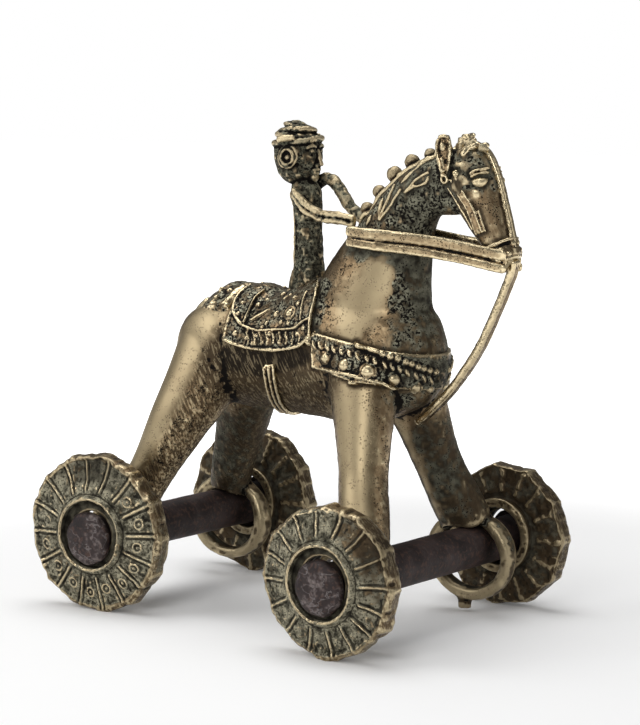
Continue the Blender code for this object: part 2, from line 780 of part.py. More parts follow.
def make_rein(name, side, tree, noseband_tree):
    """A flat rein from the rider's hand to the noseband, taut past the neck."""
    share = np.linspace(0.0, 1.0, 15)
    x = REIN_REAR[0] + (REIN_FRONT[0] - REIN_REAR[0]) * share
    z = REIN_REAR[1] + (REIN_FRONT[1] - REIN_REAR[1]) * share + REIN_SAG * np.sin(share * math.pi)
    half_height = REIN_HALF_HEIGHT_REAR + (REIN_HALF_HEIGHT_FRONT - REIN_HALF_HEIGHT_REAR) * share
    clear = LOOSE_GAP + REIN_HALF_THICKNESS
    wanted = []
    for level in (-1.0, 0.0, 1.0):
        centre = np.stack([x, np.zeros_like(x), z + level * half_height], axis=-1)
        outwards = np.broadcast_to(np.array([0.0, side, 0.0]), centre.shape)
        wanted.append(np.abs(rays_onto(tree, centre, outwards)[:, 1]))
        wanted.append(np.abs(rays_onto(noseband_tree, centre, outwards)[:, 1]))
    need = np.max(wanted, axis=0) + clear
    line = need[0] + (need[-1] - need[0]) * share
    out = np.maximum(line, need)
    rows = np.stack([x, side * out, z, np.full_like(x, REIN_HALF_THICKNESS), half_height], axis=1)
    return tube(name, rows, REIN_SIDES)


def make_tail(tree, horse_room):
    heights = np.linspace(TAIL_TOP, TAIL_TOP - TAIL_LENGTH, 11)
    inside = np.full_like(heights, TAIL_RAY_X)
    centre = np.stack([inside, np.zeros_like(heights), heights], axis=-1)
    outwards = np.broadcast_to(np.array([-1.0, 0.0, 0.0]), centre.shape)
    x = rays_onto(tree, centre, outwards)[:, 0]
    x = np.minimum.accumulate(x)
    points = np.stack([x - TAIL_RADIUS - WRAP_GAP, np.zeros_like(x), heights], axis=1)
    return largest_body(combined(wire("tail", points, TAIL_RADIUS), [horse_room], "DIFFERENCE"))


def make_rider(rooms):
    shapes = [tube("trunk", spline(stations, TUBE_STEP)) for stations in (RIDER_TRUNK, RIDER_HEAD)]
    for arm in (RIGHT_ARM, LEFT_ARM):
        shapes.append(wire("arm", spline(arm, TUBE_STEP), ARM_RADIUS))
    body = fused("rider", shapes, RIDER_VOXEL, RIDER_SMOOTHING, RIDER_SHARE)
    return largest_body(combined(body, rooms, "DIFFERENCE"))


def make_martingale(rooms):
    path = spline([(x, 0.0, z) for x, z in MARTINGALE], TUBE_STEP * 1.6)
    strap = wire("martingale", path, MARTINGALE_RADIUS)
    return largest_body(combined(strap, rooms, "DIFFERENCE"))


def tree_of(mesh):
    return BVHTree.FromPolygons([v.co for v in mesh.vertices], [p.vertices for p in mesh.polygons])


clear_scene()
parts = new_collection("brass_toy_horse")
cutters = new_collection("cutters")
carrier = bpy.data.objects.new("toy_origin", None)
parts.objects.link(carrier)

polished = metal("polished_brass", BRASS, 0.32)
patinated = metal("patinated_brass", PATINA, 0.5)
iron = metal("forged_iron", IRON, 0.6)

horse_mesh = make_horse()
horse_room = inflated(horse_mesh, SEAT_GAP)
skin_tree = tree_of(horse_mesh)
cloth_mesh = make_saddle_cloth(skin_tree)
mane_mesh = make_mane(skin_tree)
noseband_mesh = make_noseband(skin_tree)
noseband_tree = tree_of(noseband_mesh)
nose_strap_mesh = make_head_strap("nose_strap", skin_tree, NOSE_STRAP_START, 0.0, NOSE_STRAP_HALF)
collar_mesh = make_breast_collar(skin_tree)
strap_rooms = [horse_room, inflated(noseband_mesh, SEAT_GAP), inflated(collar_mesh, SEAT_GAP)]
rider_rooms = [horse_room, inflated(cloth_mesh, SEAT_GAP), inflated(mane_mesh, SEAT_GAP)]
made = {
    "mane": (mane_mesh, patinated),
    "saddle_cloth": (cloth_mesh, patinated),
    "crupper_cloth": (make_crupper_cloth(skin_tree), patinated),
    "girth_strap": (make_girth(skin_tree), polished),
    "breast_collar": (collar_mesh, polished),
    "noseband": (noseband_mesh, polished),
    "nose_strap": (nose_strap_mesh, polished),
    "martingale": (make_martingale(strap_rooms), polished),
    "tail": (make_tail(skin_tree, horse_room), polished),
    "rider": (make_rider(rider_rooms), polished),
}
for hand, side in (("left", 1), ("right", -1)):
    cheek = f"{hand}_cheek_strap"
    where = (CHEEK_STRAP_START, side * CHEEK_STRAP_ANGLE, CHEEK_STRAP_HALF)
    made[cheek] = (make_head_strap(cheek, skin_tree, *where), polished)
    made[f"{hand}_rein"] = (make_rein(f"{hand}_rein", side, skin_tree, noseband_tree), polished)
node("horse_body", horse_mesh, polished)
for piece, (mesh, material) in made.items():
    node(piece, mesh, material)

for end, x, wheel_out, radius in (
    ("front", WHEELBASE / 2, FRONT_WHEEL_OUT, FRONT_WHEEL_RADIUS),
    ("rear", -WHEELBASE / 2, REAR_WHEEL_OUT, REAR_WHEEL_RADIUS),
):
    node(f"{end}_axle", axle(f"{end}_axle", wheel_out), iron, (x, 0.0, axle_height(radius)))
    for hand, side in (("left", 1), ("right", -1)):
        mesh = wheel(f"wheel_{end}_{hand}", radius)
        if side < 0:
            for vert in mesh.vertices:
                vert.co.y = -vert.co.y
            mesh.flip_normals()
        node(f"wheel_{end}_{hand}", mesh, patinated, (x, side * wheel_out, wheel_height(radius)))

bpy.context.view_layer.update()
reach_x = []
for obj in parts.objects:
    if obj.type == "MESH":
        reach_x += [(obj.matrix_world @ Vector(corner)).x for corner in obj.bound_box]
carrier.location.x = -(min(reach_x) + max(reach_x)) / 2
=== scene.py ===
# %% [markdown]
# A cast brass toy horse with a rider. The real one was built in wax: a smooth core, then threads, beads and
# strips of wax pressed onto it, and the whole cast in one pour. This lesson works in the same order. The
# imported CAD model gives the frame, and every piece below is made over its solids, in millimetres.

# %% The frame and the tools
import math

import bpy
import numpy as np
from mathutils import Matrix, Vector
from mathutils.bvhtree import BVHTree


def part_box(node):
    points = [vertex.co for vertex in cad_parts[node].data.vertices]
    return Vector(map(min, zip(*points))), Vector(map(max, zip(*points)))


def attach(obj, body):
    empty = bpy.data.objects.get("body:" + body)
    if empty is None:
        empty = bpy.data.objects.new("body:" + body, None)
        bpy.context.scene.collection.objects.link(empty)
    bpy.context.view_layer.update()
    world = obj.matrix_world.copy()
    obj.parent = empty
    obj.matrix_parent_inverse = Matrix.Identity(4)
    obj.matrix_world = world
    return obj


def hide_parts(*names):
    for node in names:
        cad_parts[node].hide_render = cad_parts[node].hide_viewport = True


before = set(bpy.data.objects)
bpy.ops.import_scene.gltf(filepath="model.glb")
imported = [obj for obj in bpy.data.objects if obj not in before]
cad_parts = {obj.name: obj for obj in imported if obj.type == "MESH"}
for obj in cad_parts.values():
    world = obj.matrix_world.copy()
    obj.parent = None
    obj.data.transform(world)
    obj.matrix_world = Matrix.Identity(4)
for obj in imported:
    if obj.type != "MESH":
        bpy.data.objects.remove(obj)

MM = 0.001
HALF_WHEELBASE = 50.0


def middle(low, high):
    """The middle of a box's corners in millimetres, with y at 0."""
    return np.array([(low.x + high.x) / 2 / MM, 0.0, (low.z + high.z) / 2 / MM])


def linked(obj):
    bpy.context.scene.collection.objects.link(obj)
    return obj


SHIFT = np.array([middle(*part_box("front_axle"))[0] - HALF_WHEELBASE, 0.0, 0.0])
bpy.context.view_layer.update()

# %% [markdown]
# The camera comes first, because the small ornaments are placed by looking: a pixel of the picture becomes
# a line of sight, and the ornament lies where that line first meets the casting. The toy is nearly the same
# on both sides, so most ornaments are mirrored to the side that can't be seen.

# %% Camera
AZIMUTH, ELEVATION = math.radians(37.6), math.radians(7.2)
PICTURE = (640, 725)
FOCAL_PIXELS = 2496.0
CAMERA_DISTANCE = 800.0
AIM = np.array([9.6, 0.0, 81.6])
BACK = np.array([
    math.sin(AZIMUTH) * math.cos(ELEVATION),
    -math.cos(AZIMUTH) * math.cos(ELEVATION),
    math.sin(ELEVATION),
])
RIGHT = np.array([math.cos(AZIMUTH), math.sin(AZIMUTH), 0.0])
UP = np.cross(BACK, RIGHT)
EYE = AIM + BACK * CAMERA_DISTANCE

camera = linked(bpy.data.objects.new("camera", bpy.data.cameras.new("camera")))
camera.data.sensor_fit = "VERTICAL"
camera.data.sensor_height = 36.0
camera.data.lens = FOCAL_PIXELS / PICTURE[1] * camera.data.sensor_height
camera.data.clip_end = 20.0
camera.location = Vector((EYE + SHIFT) * MM)
camera.rotation_euler = Vector(BACK).to_track_quat("Z", "Y").to_euler()
bpy.context.scene.camera = camera
bpy.context.scene.view_settings.view_transform = "Standard"
print("camera at", [round(v, 4) for v in camera.location], "lens", round(camera.data.lens, 2))


# %% Lines of sight
def unit(vectors):
    return vectors / np.maximum(np.linalg.norm(vectors, axis=-1, keepdims=True), 1e-9)


def sight_lines(pixels):
    """Unit directions from the eye through pixels: right * u + up * v - back, over the focal length."""
    pixels = np.asarray(pixels, float)
    u = (pixels[:, 0:1] - PICTURE[0] / 2) / FOCAL_PIXELS
    v = (PICTURE[1] / 2 - pixels[:, 1:2]) / FOCAL_PIXELS
    return unit(u * RIGHT + v * UP - BACK)


def on_picture(points):
    """Pixels of points: their right and down parts over their depth, times the focal length."""
    offset = points - EYE
    depth = -(offset @ BACK)
    u = PICTURE[0] / 2 + FOCAL_PIXELS * (offset @ RIGHT) / depth
    v = PICTURE[1] / 2 - FOCAL_PIXELS * (offset @ UP) / depth
    return np.stack([u, v], axis=1)


def seen(tree, pixels):
    """Where lines of sight first meet a surface, and the normals there. A miss takes the nearest place."""
    hits, normals = [], []
    for direction in sight_lines(pixels):
        place, normal, _, _ = tree.ray_cast(Vector(EYE), Vector(direction))
        if place is None:
            depth = (AIM - EYE) @ direction
            place, normal, _, _ = tree.find_nearest(Vector(EYE + direction * depth))
        hits.append(place)
        normals.append(normal)
    return np.array(hits), np.array(normals)


def on_plane(pixels, y):
    """Where the lines of sight cross the upright plane at y."""
    directions = sight_lines(pixels)
    return EYE + directions * ((y - EYE[1]) / directions[:, 1:2])


# %% [markdown]
# Wax threads, beads and leaves are closed shells of points on a grid. A shell is a pair: an array of points
# and an array of triangles. Shells may overlap freely, because a voxel remesh melts them into one skin
# afterwards, as the wax melts together under a warm tool.


# %% Shells on grids
def shell(rings, closed=False):
    """Rings of points, n x m x 3, each joined to the next. Open ends get a fan about the ring's middle."""
    count, sides = rings.shape[:2]
    spans = count if closed else count - 1
    i, k = np.meshgrid(np.arange(spans), np.arange(sides), indexing="ij")
    a, b = i * sides + k, i * sides + (k + 1) % sides
    c, d = (i + 1) % count * sides + k, (i + 1) % count * sides + (k + 1) % sides
    faces = [np.stack([a, b, d], -1).reshape(-1, 3), np.stack([a, d, c], -1).reshape(-1, 3)]
    points = rings.reshape(-1, 3)
    if not closed:
        points = np.vstack([points, rings[0].mean(0), rings[-1].mean(0)])
        k = np.arange(sides)
        after, last = (k + 1) % sides, (count - 1) * sides
        faces.append(np.stack([after, k, np.full(sides, count * sides)], -1))
        faces.append(np.stack([last + k, last + after, np.full(sides, count * sides + 1)], -1))
    return outward(points, np.concatenate(faces))


def outward(points, faces):
    """Turns the triangles round if the shell's signed volume is negative."""
    a, b, c = points[faces[:, 0]], points[faces[:, 1]], points[faces[:, 2]]
    if (a * np.cross(b, c)).sum() < 0:
        faces = faces[:, ::-1]
    return points, faces


def joined(shells):
    points = np.vstack([p for p, _ in shells])
    starts = np.cumsum([0] + [len(p) for p, _ in shells[:-1]])
    return points, np.vstack([f + start for (_, f), start in zip(shells, starts)])


def mirrored(shells):
    """The same shells on the toy's other side, with y turned to -y and the triangles turned round."""
    return [(p * (1, -1, 1), f[:, ::-1]) for p, f in shells]


def both(shells):
    return shells + mirrored(shells)


def spline(stations, step):
    """Catmull-Rom rows about one step apart: cubic pieces whose slope at a station joins its neighbours."""
    rows = np.array(stations, float)
    padded = np.vstack([2 * rows[0] - rows[1], rows, 2 * rows[-1] - rows[-2]])
    out = []
    for a, b, c, d in zip(padded, padded[1:], padded[2:], padded[3:]):
        count = max(1, round(float(np.linalg.norm((c - b)[:3])) / step))
        t = (np.arange(count) / count)[:, None]
        bend = (2 * a - 5 * b + 4 * c - d) * t**2 + (3 * b - a - 3 * c + d) * t**3
        out.append(0.5 * (2 * b + (c - a) * t + bend))
    return np.vstack(out + [rows[-1:]])


def circle(sides):
    """Angles at equal steps round a circle."""
    return np.arange(sides) * 2 * math.pi / sides


def squared(values, power):
    """Cosines or sines raised to a power under 1, which flattens the faces of a round section."""
    return np.sign(values) * np.abs(values) ** power


def loft(stations, step=1.5, sides=40):
    """Ellipses along a bent line. A station is x, y, z, half width sideways and half depth across it."""
    rows = spline(stations, step)
    tangent = unit(np.gradient(rows[:, :3], axis=0))
    side = unit(np.array([0.0, 1.0, 0.0]) - tangent * tangent[:, 1:2])
    depth = np.cross(tangent, side)
    angle = circle(sides)
    across = np.cos(angle)[None, :, None] * (side * rows[:, 3:4])[:, None]
    upright = np.sin(angle)[None, :, None] * (depth * rows[:, 4:5])[:, None]
    return shell(rows[:, None, :3] + across + upright)


THREAD_STEP = 0.4


def thread(path, normals, half_width, half_height=None, sides=10, closed=False, shape=None, block=1.0):
    """A wax thread on a surface: ellipses along the path, flat to the surface, with rounded ends. One normal
    may stand for all. The ends' radius falls as the root of 1 - (1 - s)^2, and shape may scale it along the
    thread. A block under 1 flattens the section's faces."""
    path = np.asarray(path, float)
    rows = np.hstack([path, np.broadcast_to(np.asarray(normals, float), path.shape)])
    rows = spline(np.vstack([rows, rows[:1]]) if closed else rows, THREAD_STEP)
    if closed:
        rows = rows[:-1]
    middle_line, up = rows[:, :3], unit(rows[:, 3:])
    if closed:
        ahead = np.roll(middle_line, -1, 0) - np.roll(middle_line, 1, 0)
    else:
        ahead = np.gradient(middle_line, axis=0)
    side = unit(np.cross(up, ahead))
    up = unit(np.cross(ahead, side))
    share = np.linspace(0.0, 1.0, len(rows))
    length = np.linalg.norm(np.diff(middle_line, axis=0), axis=1).sum()
    scale = np.ones(len(rows)) if shape is None else shape(share)
    if not closed:
        to_end = np.minimum(share, 1 - share) * length / half_width
        scale = scale * np.sqrt(np.maximum(1 - (1 - np.clip(to_end, 0, 1)) ** 2, 0.003))
    height = half_width if half_height is None else half_height
    across, upright = squared(np.cos(circle(sides)), block), squared(np.sin(circle(sides)), block)
    ring = across[None, :, None] * side[:, None] * half_width + upright[None, :, None] * up[:, None] * height
    return shell(middle_line[:, None] + ring * scale[:, None, None], closed)


def spindle(share):
    """A leaf's width along its length: a half sine to the power 0.7."""
    return np.maximum(np.sin(share * math.pi), 0.0) ** 0.7 + 0.02


SLANT = (0.31, 0.83, 0.47)


def axes_about(normal):
    """The unit normal and two directions square to it. The slant only has to miss the normal."""
    normal = unit(np.asarray(normal, float))
    side = unit(np.cross(normal, SLANT))
    return normal, side, np.cross(normal, side)


def bead(centre, normal, radius, height=None, sides=14, rings=8):
    """A flattened ball: circles of radius r sin(t) at a height of h cos(t) along the normal."""
    normal, side, other = axes_about(normal)
    t = np.linspace(0.06, math.pi - 0.06, rings)[:, None, None]
    angle = circle(sides)[None, :, None]
    flat = np.cos(angle) * side + np.sin(angle) * other
    return shell(np.asarray(centre) + radius * np.sin(t) * flat + (height or radius) * np.cos(t) * normal)


def ringlet(centre, normal, radius, wire, squash=1.0):
    """A ring of thread: a circle of the radius about the normal, closed on itself."""
    normal, side, other = axes_about(normal)
    angle = np.linspace(0, 2 * math.pi, 16, endpoint=False)[:, None]
    path = np.asarray(centre) + radius * (np.cos(angle) * side + np.sin(angle) * other * squash)
    return thread(path, normal, wire, closed=True, sides=8)


# %% [markdown]
# Melting the shells into one skin gives the soft fillets that a lost-wax casting has. Afterwards numpy
# roughens the skin with value noise and measures its relief: how far each point stands above or below the
# smoothed skin. The relief is stored as attributes, which tell the brass where dark oxide belongs in the
# hollows, and where the crests take polish and a painted highlight.


# %% Skins and their relief
def to_row(points):
    return (points + SHIFT) * MM


def mesh_of(name, points, faces):
    """A mesh of triangles, filled with whole arrays."""
    mesh = bpy.data.meshes.new(name)
    mesh.vertices.add(len(points))
    mesh.vertices.foreach_set("co", to_row(points).astype(np.float32).ravel())
    mesh.loops.add(faces.size)
    mesh.loops.foreach_set("vertex_index", faces.astype(np.int32).ravel())
    mesh.polygons.add(len(faces))
    mesh.polygons.foreach_set("loop_start", np.arange(0, faces.size, 3, dtype=np.int32))
    mesh.update(calc_edges=True)
    return mesh


def fetched(collection, field, width, kind=np.float32):
    """One field of a mesh's points, edges or triangles, as an array with so many columns."""
    flat = np.empty(len(collection) * width, kind)
    collection.foreach_get(field, flat)
    return flat.reshape(-1, width)


def points_of(mesh):
    return fetched(mesh.vertices, "co", 3).astype(float) / MM - SHIFT


def normals_of(mesh):
    return fetched(mesh.vertex_normals, "vector", 3).astype(float)


def place_points(mesh, points):
    mesh.vertices.foreach_set("co", to_row(points).astype(np.float32).ravel())
    mesh.update()


def skin_of(name, shells, voxel, smoothing=1):
    """One skin over the shells: a voxel remesh at that size in millimetres, then a little smoothing."""
    obj = linked(bpy.data.objects.new(name, mesh_of(name, *joined(shells))))
    remesh = obj.modifiers.new("melt", "REMESH")
    remesh.mode = "VOXEL"
    remesh.voxel_size = voxel * MM
    smooth = obj.modifiers.new("soften", "SMOOTH")
    smooth.factor = 0.5
    smooth.iterations = smoothing
    bpy.context.view_layer.update()
    baked = bpy.data.meshes.new_from_object(obj.evaluated_get(bpy.context.evaluated_depsgraph_get()))
    obj.modifiers.clear()
    obj.data = baked
    baked.name = name
    return obj


def shell_like(obj):
    """A finished skin's points and triangles."""
    obj.data.calc_loop_triangles()
    return points_of(obj.data), fetched(obj.data.loop_triangles, "vertices", 3, np.int32)


def shell_of(obj):
    """A skin turned back into a shell, so that more wax can be melted onto it."""
    points, faces = shell_like(obj)
    bpy.data.objects.remove(obj)
    return points, faces


def tree_over(shells):
    points, faces = joined(shells)
    return BVHTree.FromPolygons(points.tolist(), faces.tolist())


def noise(points, size, seed=0):
    """Value noise from -1 to 1: a random number at each lattice corner, blended by 3 f^2 - 2 f^3."""
    place = np.asarray(points) / size + seed * 37.7
    cell = np.floor(place).astype(np.int64)
    f = place - cell
    f = f * f * (3 - 2 * f)
    total = np.zeros(len(place))
    for dx, dy, dz in np.ndindex(2, 2, 2):
        number = (cell[:, 0] + dx) * 374761393 + (cell[:, 1] + dy) * 668265263
        number = number + (cell[:, 2] + dz) * 2147483647
        number = (number ^ (number >> 13)) * 1274126177
        number = (number ^ (number >> 16)) & 0xFFFF
        weight = np.abs(1 - dx - f[:, 0]) * np.abs(1 - dy - f[:, 1]) * np.abs(1 - dz - f[:, 2])
        total += weight * (number / 32767.5 - 1)
    return total


def averaged(values, edges, rounds):
    """Each value becomes the mean of its neighbours', again and again."""
    a, b = edges[:, 0], edges[:, 1]
    count = len(values)
    degree = np.maximum(np.bincount(a, minlength=count) + np.bincount(b, minlength=count), 1)
    for _ in range(rounds):
        columns = []
        for column in values.T:
            total = np.bincount(a, column[b], count) + np.bincount(b, column[a], count)
            columns.append(total / degree)
        values = np.stack(columns, axis=1)
    return values


def smooth_step(low_end, high_end, values):
    t = np.clip((values - low_end) / (high_end - low_end), 0, 1)
    return t * t * (3 - 2 * t)


def keep(mesh, name, values):
    attribute = mesh.attributes.get(name) or mesh.attributes.new(name, "FLOAT", "POINT")
    attribute.data.foreach_set("value", np.broadcast_to(values, len(mesh.vertices)).astype(np.float32))


FINE_RELIEF, BROAD_RELIEF = 0.45, 1.6


def measure_relief(mesh, spacing):
    """Stores hollow and crest: how far a point lies below or above the skin averaged over two distances."""
    points, normals, edges = points_of(mesh), normals_of(mesh), fetched(mesh.edges, "vertices", 2, np.int32)
    near = averaged(points, edges, max(2, round(2 * (FINE_RELIEF / spacing) ** 2)))
    far = averaged(near, edges, max(4, round(2 * (BROAD_RELIEF / spacing) ** 2)))
    small = ((points - near) * normals).sum(1)
    large = ((points - far) * normals).sum(1)
    relief = small / 0.06 + large / 0.3
    keep(mesh, "hollow", smooth_step(0.25, 2.2, -relief))
    keep(mesh, "crest", smooth_step(0.4, 2.6, relief))


def roughen(mesh, layers, seed=1, share=1.0):
    """Moves each point along its normal by the sum of noise layers, given as (size, height)."""
    points, normals = points_of(mesh), normals_of(mesh)
    lift = share * sum(noise(points, size, seed + n) * height for n, (size, height) in enumerate(layers))
    place_points(mesh, points + normals * lift[:, None])


# %% [markdown]
# One recipe makes every brass finish. The metal is bright where hands have polished it, and its raised edges
# carry a painted highlight too. A dark oxide sits in the hollows, and the same dark colour is painted as
# shade where a piece asks for it. A matte grey green patina lies over whole areas such as the neck and the
# wheels.
# The class below lets the recipe be written as sums and products of shader sockets.


# %% Shader maths
class Value:
    """A shader socket that understands + - * and adds the Math node for each."""

    def __init__(self, finish, socket):
        self.finish, self.socket = finish, socket

    def maths(self, operation, *others, flip=False):
        values = [self, *others]
        if flip:
            values.reverse()
        return self.finish.node("Math", {"operation": operation}, dict(enumerate(values)))

    def __add__(self, other):
        return self.maths("ADD", other)

    def __sub__(self, other):
        return self.maths("SUBTRACT", other)

    def __rsub__(self, other):
        return self.maths("SUBTRACT", other, flip=True)

    def __mul__(self, other):
        return self.maths("MULTIPLY", other)

    def step(self, low_end, high_end):
        """0 below the low end, 1 above the high end, and a smooth slope between."""
        settings = {"interpolation_type": "SMOOTHSTEP"}
        return self.finish.node("MapRange", settings, {0: self, 1: low_end, 2: high_end, 3: 0.0, 4: 1.0})

    def either(self, other):
        return self.maths("MAXIMUM", other)

    def within(self):
        return self.maths("MAXIMUM", 0.0).maths("MINIMUM", 1.0)


class Finish:
    """A material whose nodes are added one by one."""

    def __init__(self, name):
        self.material = bpy.data.materials.new(name)
        self.material.use_nodes = True
        self.tree = self.material.node_tree
        self.surface = self.tree.nodes["Principled BSDF"]

    def node(self, kind, settings=None, sockets=None, out=0):
        """Adds a node: first its settings, then its sockets' values or links. Returns one output."""
        made = self.tree.nodes.new("ShaderNode" + kind)
        for name, value in (settings or {}).items():
            setattr(made, name, value)
        for name, value in (sockets or {}).items():
            self.feed(made.inputs[name], value)
        return Value(self, made.outputs[out])

    def feed(self, socket, value):
        if isinstance(value, Value):
            self.tree.links.new(value.socket, socket)
        else:
            socket.default_value = value

    def finished(self, **sockets):
        """Feeds the surface's sockets, whose names have _ for a space, and returns the material."""
        for name, value in sockets.items():
            self.feed(self.surface.inputs[name.replace("_", " ")], value)
        return self.material

    def bump(self, strength, height):
        sockets = {"Strength": strength, "Distance": BUMP_DEPTH, "Height": height}
        return self.node("Bump", None, sockets, out="Normal")

    def stored(self, name):
        return self.node("Attribute", {"attribute_name": name}, out="Fac")

    def speckle(self, scale, detail, where):
        return self.node("TexNoise", None, {"Vector": where, "Scale": scale, "Detail": detail}, out="Fac")

    def blend(self, share, first, second):
        """The colour first, going to second as the share goes to 1."""
        return self.node("Mix", {"data_type": "RGBA"}, {0: share, 6: first, 7: second}, out=2)


# %% The brass recipe
BUMP_DEPTH = 0.0003
RUBBED_BRASS = (0.46, 0.37, 0.225, 1)
EDGE_BRASS_AND_HIGHLIGHT = (0.76, 0.64, 0.41, 1)
DULL_BRASS = (0.21, 0.145, 0.08, 1)
DARK_OXIDE_AND_SHADE = (0.006, 0.0045, 0.0035, 1)
PALE_PATINA = (0.43, 0.395, 0.28, 1)
GREY_PATINA = (0.3, 0.295, 0.21, 1)
SKIN_PATINA = (0.45, 0.435, 0.315, 1)
DEEP_PATINA = (0.055, 0.051, 0.034, 1)


def brass(name, patina=0.0, dirt_and_shade=1.0, shine=0.3, wear=1.0, soot=0.0, bloom=PALE_PATINA, blots=1.0):
    """Patina is a grey green layer that starts in the hollows, dirt the strength of the dark oxide in the
    recesses and of the painted shade that a piece stores, soot an even darkening where there is no polish,
    bloom the patina's colour on its high places, and blots the black spots in it."""
    finish = Finish(name)
    hollow, crest = finish.stored("hollow"), finish.stored("crest")
    polish_and_highlight, stroked, soot_and_shade = [finish.stored(area) for area in ("polish_and_highlight", "stroked", "soot_and_shade")]
    place = finish.node("TexCoord", out="Object")
    cloud, mottle = finish.speckle(90.0, 3.0, place), finish.speckle(330.0, 2.0, place)
    grain = finish.speckle(1000.0, 2.0, place) * 0.6 + finish.speckle(2300.0, 1.0, place) * 0.4
    slant = {0: place, 2: (0.0, 1.15, 0.2), 3: (1 / 240, 1 / 1500, 1 / 1500)}
    slanted = finish.node("Mapping", {"vector_type": "TEXTURE"}, slant)
    dash = finish.speckle(1.0, 2.0, slanted)
    cells = finish.node("TexVoronoi", None, {"Vector": place, "Scale": 1300.0}, out="Distance")
    pit = (1 - cells.step(0.22, 0.4)) * mottle.step(0.45, 0.55) * (1 - polish_and_highlight * 0.6)
    blot = finish.speckle(1250.0, 2.0, place).step(0.5, 0.54)
    strokes, scratches = dash.step(0.53, 0.57) * stroked, (1 - dash).step(0.54, 0.58) * stroked
    worn = (crest * wear + polish_and_highlight).within()
    grain = (grain - 0.5) * (1 - polish_and_highlight.either(soot_and_shade).either(stroked * 0.6) * 0.85) + 0.5
    green = finish.stored("patina") + patina + (cloud - 0.5) * 0.9 + (mottle - 0.5) * 0.8
    green = (green + hollow * 0.15 - worn * 0.75).step(0.3, 0.7)
    sooty = hollow * 1.5 + (grain - 0.5) * 3.4 + (mottle - 0.5) * 0.8 + stroked * 0.3
    sooty = (sooty - worn * 0.8 + soot).step(0.15, 0.75)
    blot = blot * green * (1 - worn) * (1 - soot_and_shade) * (blots * 1.3)
    # The dark share is oxide in the hollows and pits, plus painted shade where a piece stores it.
    dark = sooty.either(pit).either(strokes * 0.9).either(blot)
    dark = (dark.either(soot_and_shade * 0.95 - scratches * 0.4 - crest * 0.15) * dirt_and_shade).within()
    dark = dark * (1 - crest.step(0.5, 0.9) * 0.5)
    warm = (worn * 0.8 + scratches * 0.9 + (cloud - 0.45) * 0.7 + (grain - 0.5) * 1.2).within()
    # Raised edges turn pale: wear on the crests, with a painted highlight on it.
    edge = crest.step(0.45, 0.9) * (1 - soot_and_shade * 0.7)
    metal = finish.blend(edge * 0.6, finish.blend(warm, DULL_BRASS, RUBBED_BRASS), EDGE_BRASS_AND_HIGHLIGHT)
    powder = finish.blend((grain * 0.4 + mottle * 0.6).step(0.4, 0.6).either(crest), DEEP_PATINA, bloom)
    colour = finish.blend(dark, finish.blend(green, metal, powder), DARK_OXIDE_AND_SHADE)
    rough = green * 0.25 + dark * 0.3 + shine + (grain - 0.5) * 0.3 + polish_and_highlight * 0.12
    height = grain * 0.5 + mottle * 0.3 - pit * 0.9 - strokes * 0.5 + scratches * 0.3
    return finish.finished(
        Base_Color=colour, Metallic=(1 - green * 0.7) * (1 - dark * 0.4), Specular_IOR_Level=0.12,
        Roughness=rough.within(), Normal=finish.bump(0.4, height),
    )


casting_brass = brass("polished_brass_skin", soot=0.14, bloom=SKIN_PATINA, blots=1.8)
harness_brass = brass("polished_brass_harness", shine=0.2, wear=0.9, soot=0.16, bloom=GREY_PATINA)
green_brass = brass(
    "patinated_brass_relief", patina=0.47, dirt_and_shade=1.15, wear=1.8, shine=0.2, soot=0.02, bloom=SKIN_PATINA,
    blots=1.2,
)
wheel_brass = brass("patinated_brass_wheels", patina=0.75, dirt_and_shade=0.85, wear=0.8, shine=0.25, blots=0.4)
sooty_brass = brass("polished_brass_sooty", patina=0.3, dirt_and_shade=1.1, shine=0.4, wear=0.55, soot=0.35,
                    bloom=GREY_PATINA)
print("brass finishes:", [m.name for m in (casting_brass, harness_brass, green_brass, wheel_brass,
                                           sooty_brass)])


# %% Iron for the axles
IRON_DEEP, IRON_HIGH = (0.014, 0.009, 0.009, 1), (0.05, 0.033, 0.031, 1)
IRON_RUST, IRON_DUST = (0.1, 0.055, 0.04, 1), (0.36, 0.32, 0.31, 1)


def iron(name):
    """Forged iron: purplish black, with pale scratches and a little rust."""
    finish = Finish(name)
    place = finish.node("TexCoord", out="Object")
    cloud, grain = finish.speckle(120.0, 3.0, place), finish.speckle(800.0, 3.0, place)
    stretched = finish.node("Mapping", None, {0: place, 2: (0.9, 0.2, 0.4), 3: (150.0, 420.0, 240.0)})
    lines = (finish.speckle(1.0, 5.0, stretched) - 0.5).maths("ABSOLUTE")
    scratches = (1 - lines.step(0.004, 0.022)) * cloud.step(0.4, 0.55)
    scratches = scratches * (finish.stored("patina") * 0.85 + 0.15)
    colour = finish.blend(cloud.step(0.3, 0.75), IRON_DEEP, IRON_HIGH)
    colour = finish.blend(grain.step(0.5, 0.66) * 0.6, colour, IRON_RUST)
    dust = (grain - 0.42).within() * cloud.step(0.5, 0.62) * finish.stored("patina")
    colour = finish.blend((dust * 1.6).either(scratches * 0.4), colour, IRON_DUST)
    return finish.finished(
        Base_Color=colour, Metallic=0.1, Specular_IOR_Level=0.3,
        Roughness=grain * 0.3 + 0.42 - scratches * 0.1,
        Normal=finish.bump(0.3, grain * 0.5 - scratches * 0.4 + cloud),
    )


axle_iron = iron("forged_iron_worn")


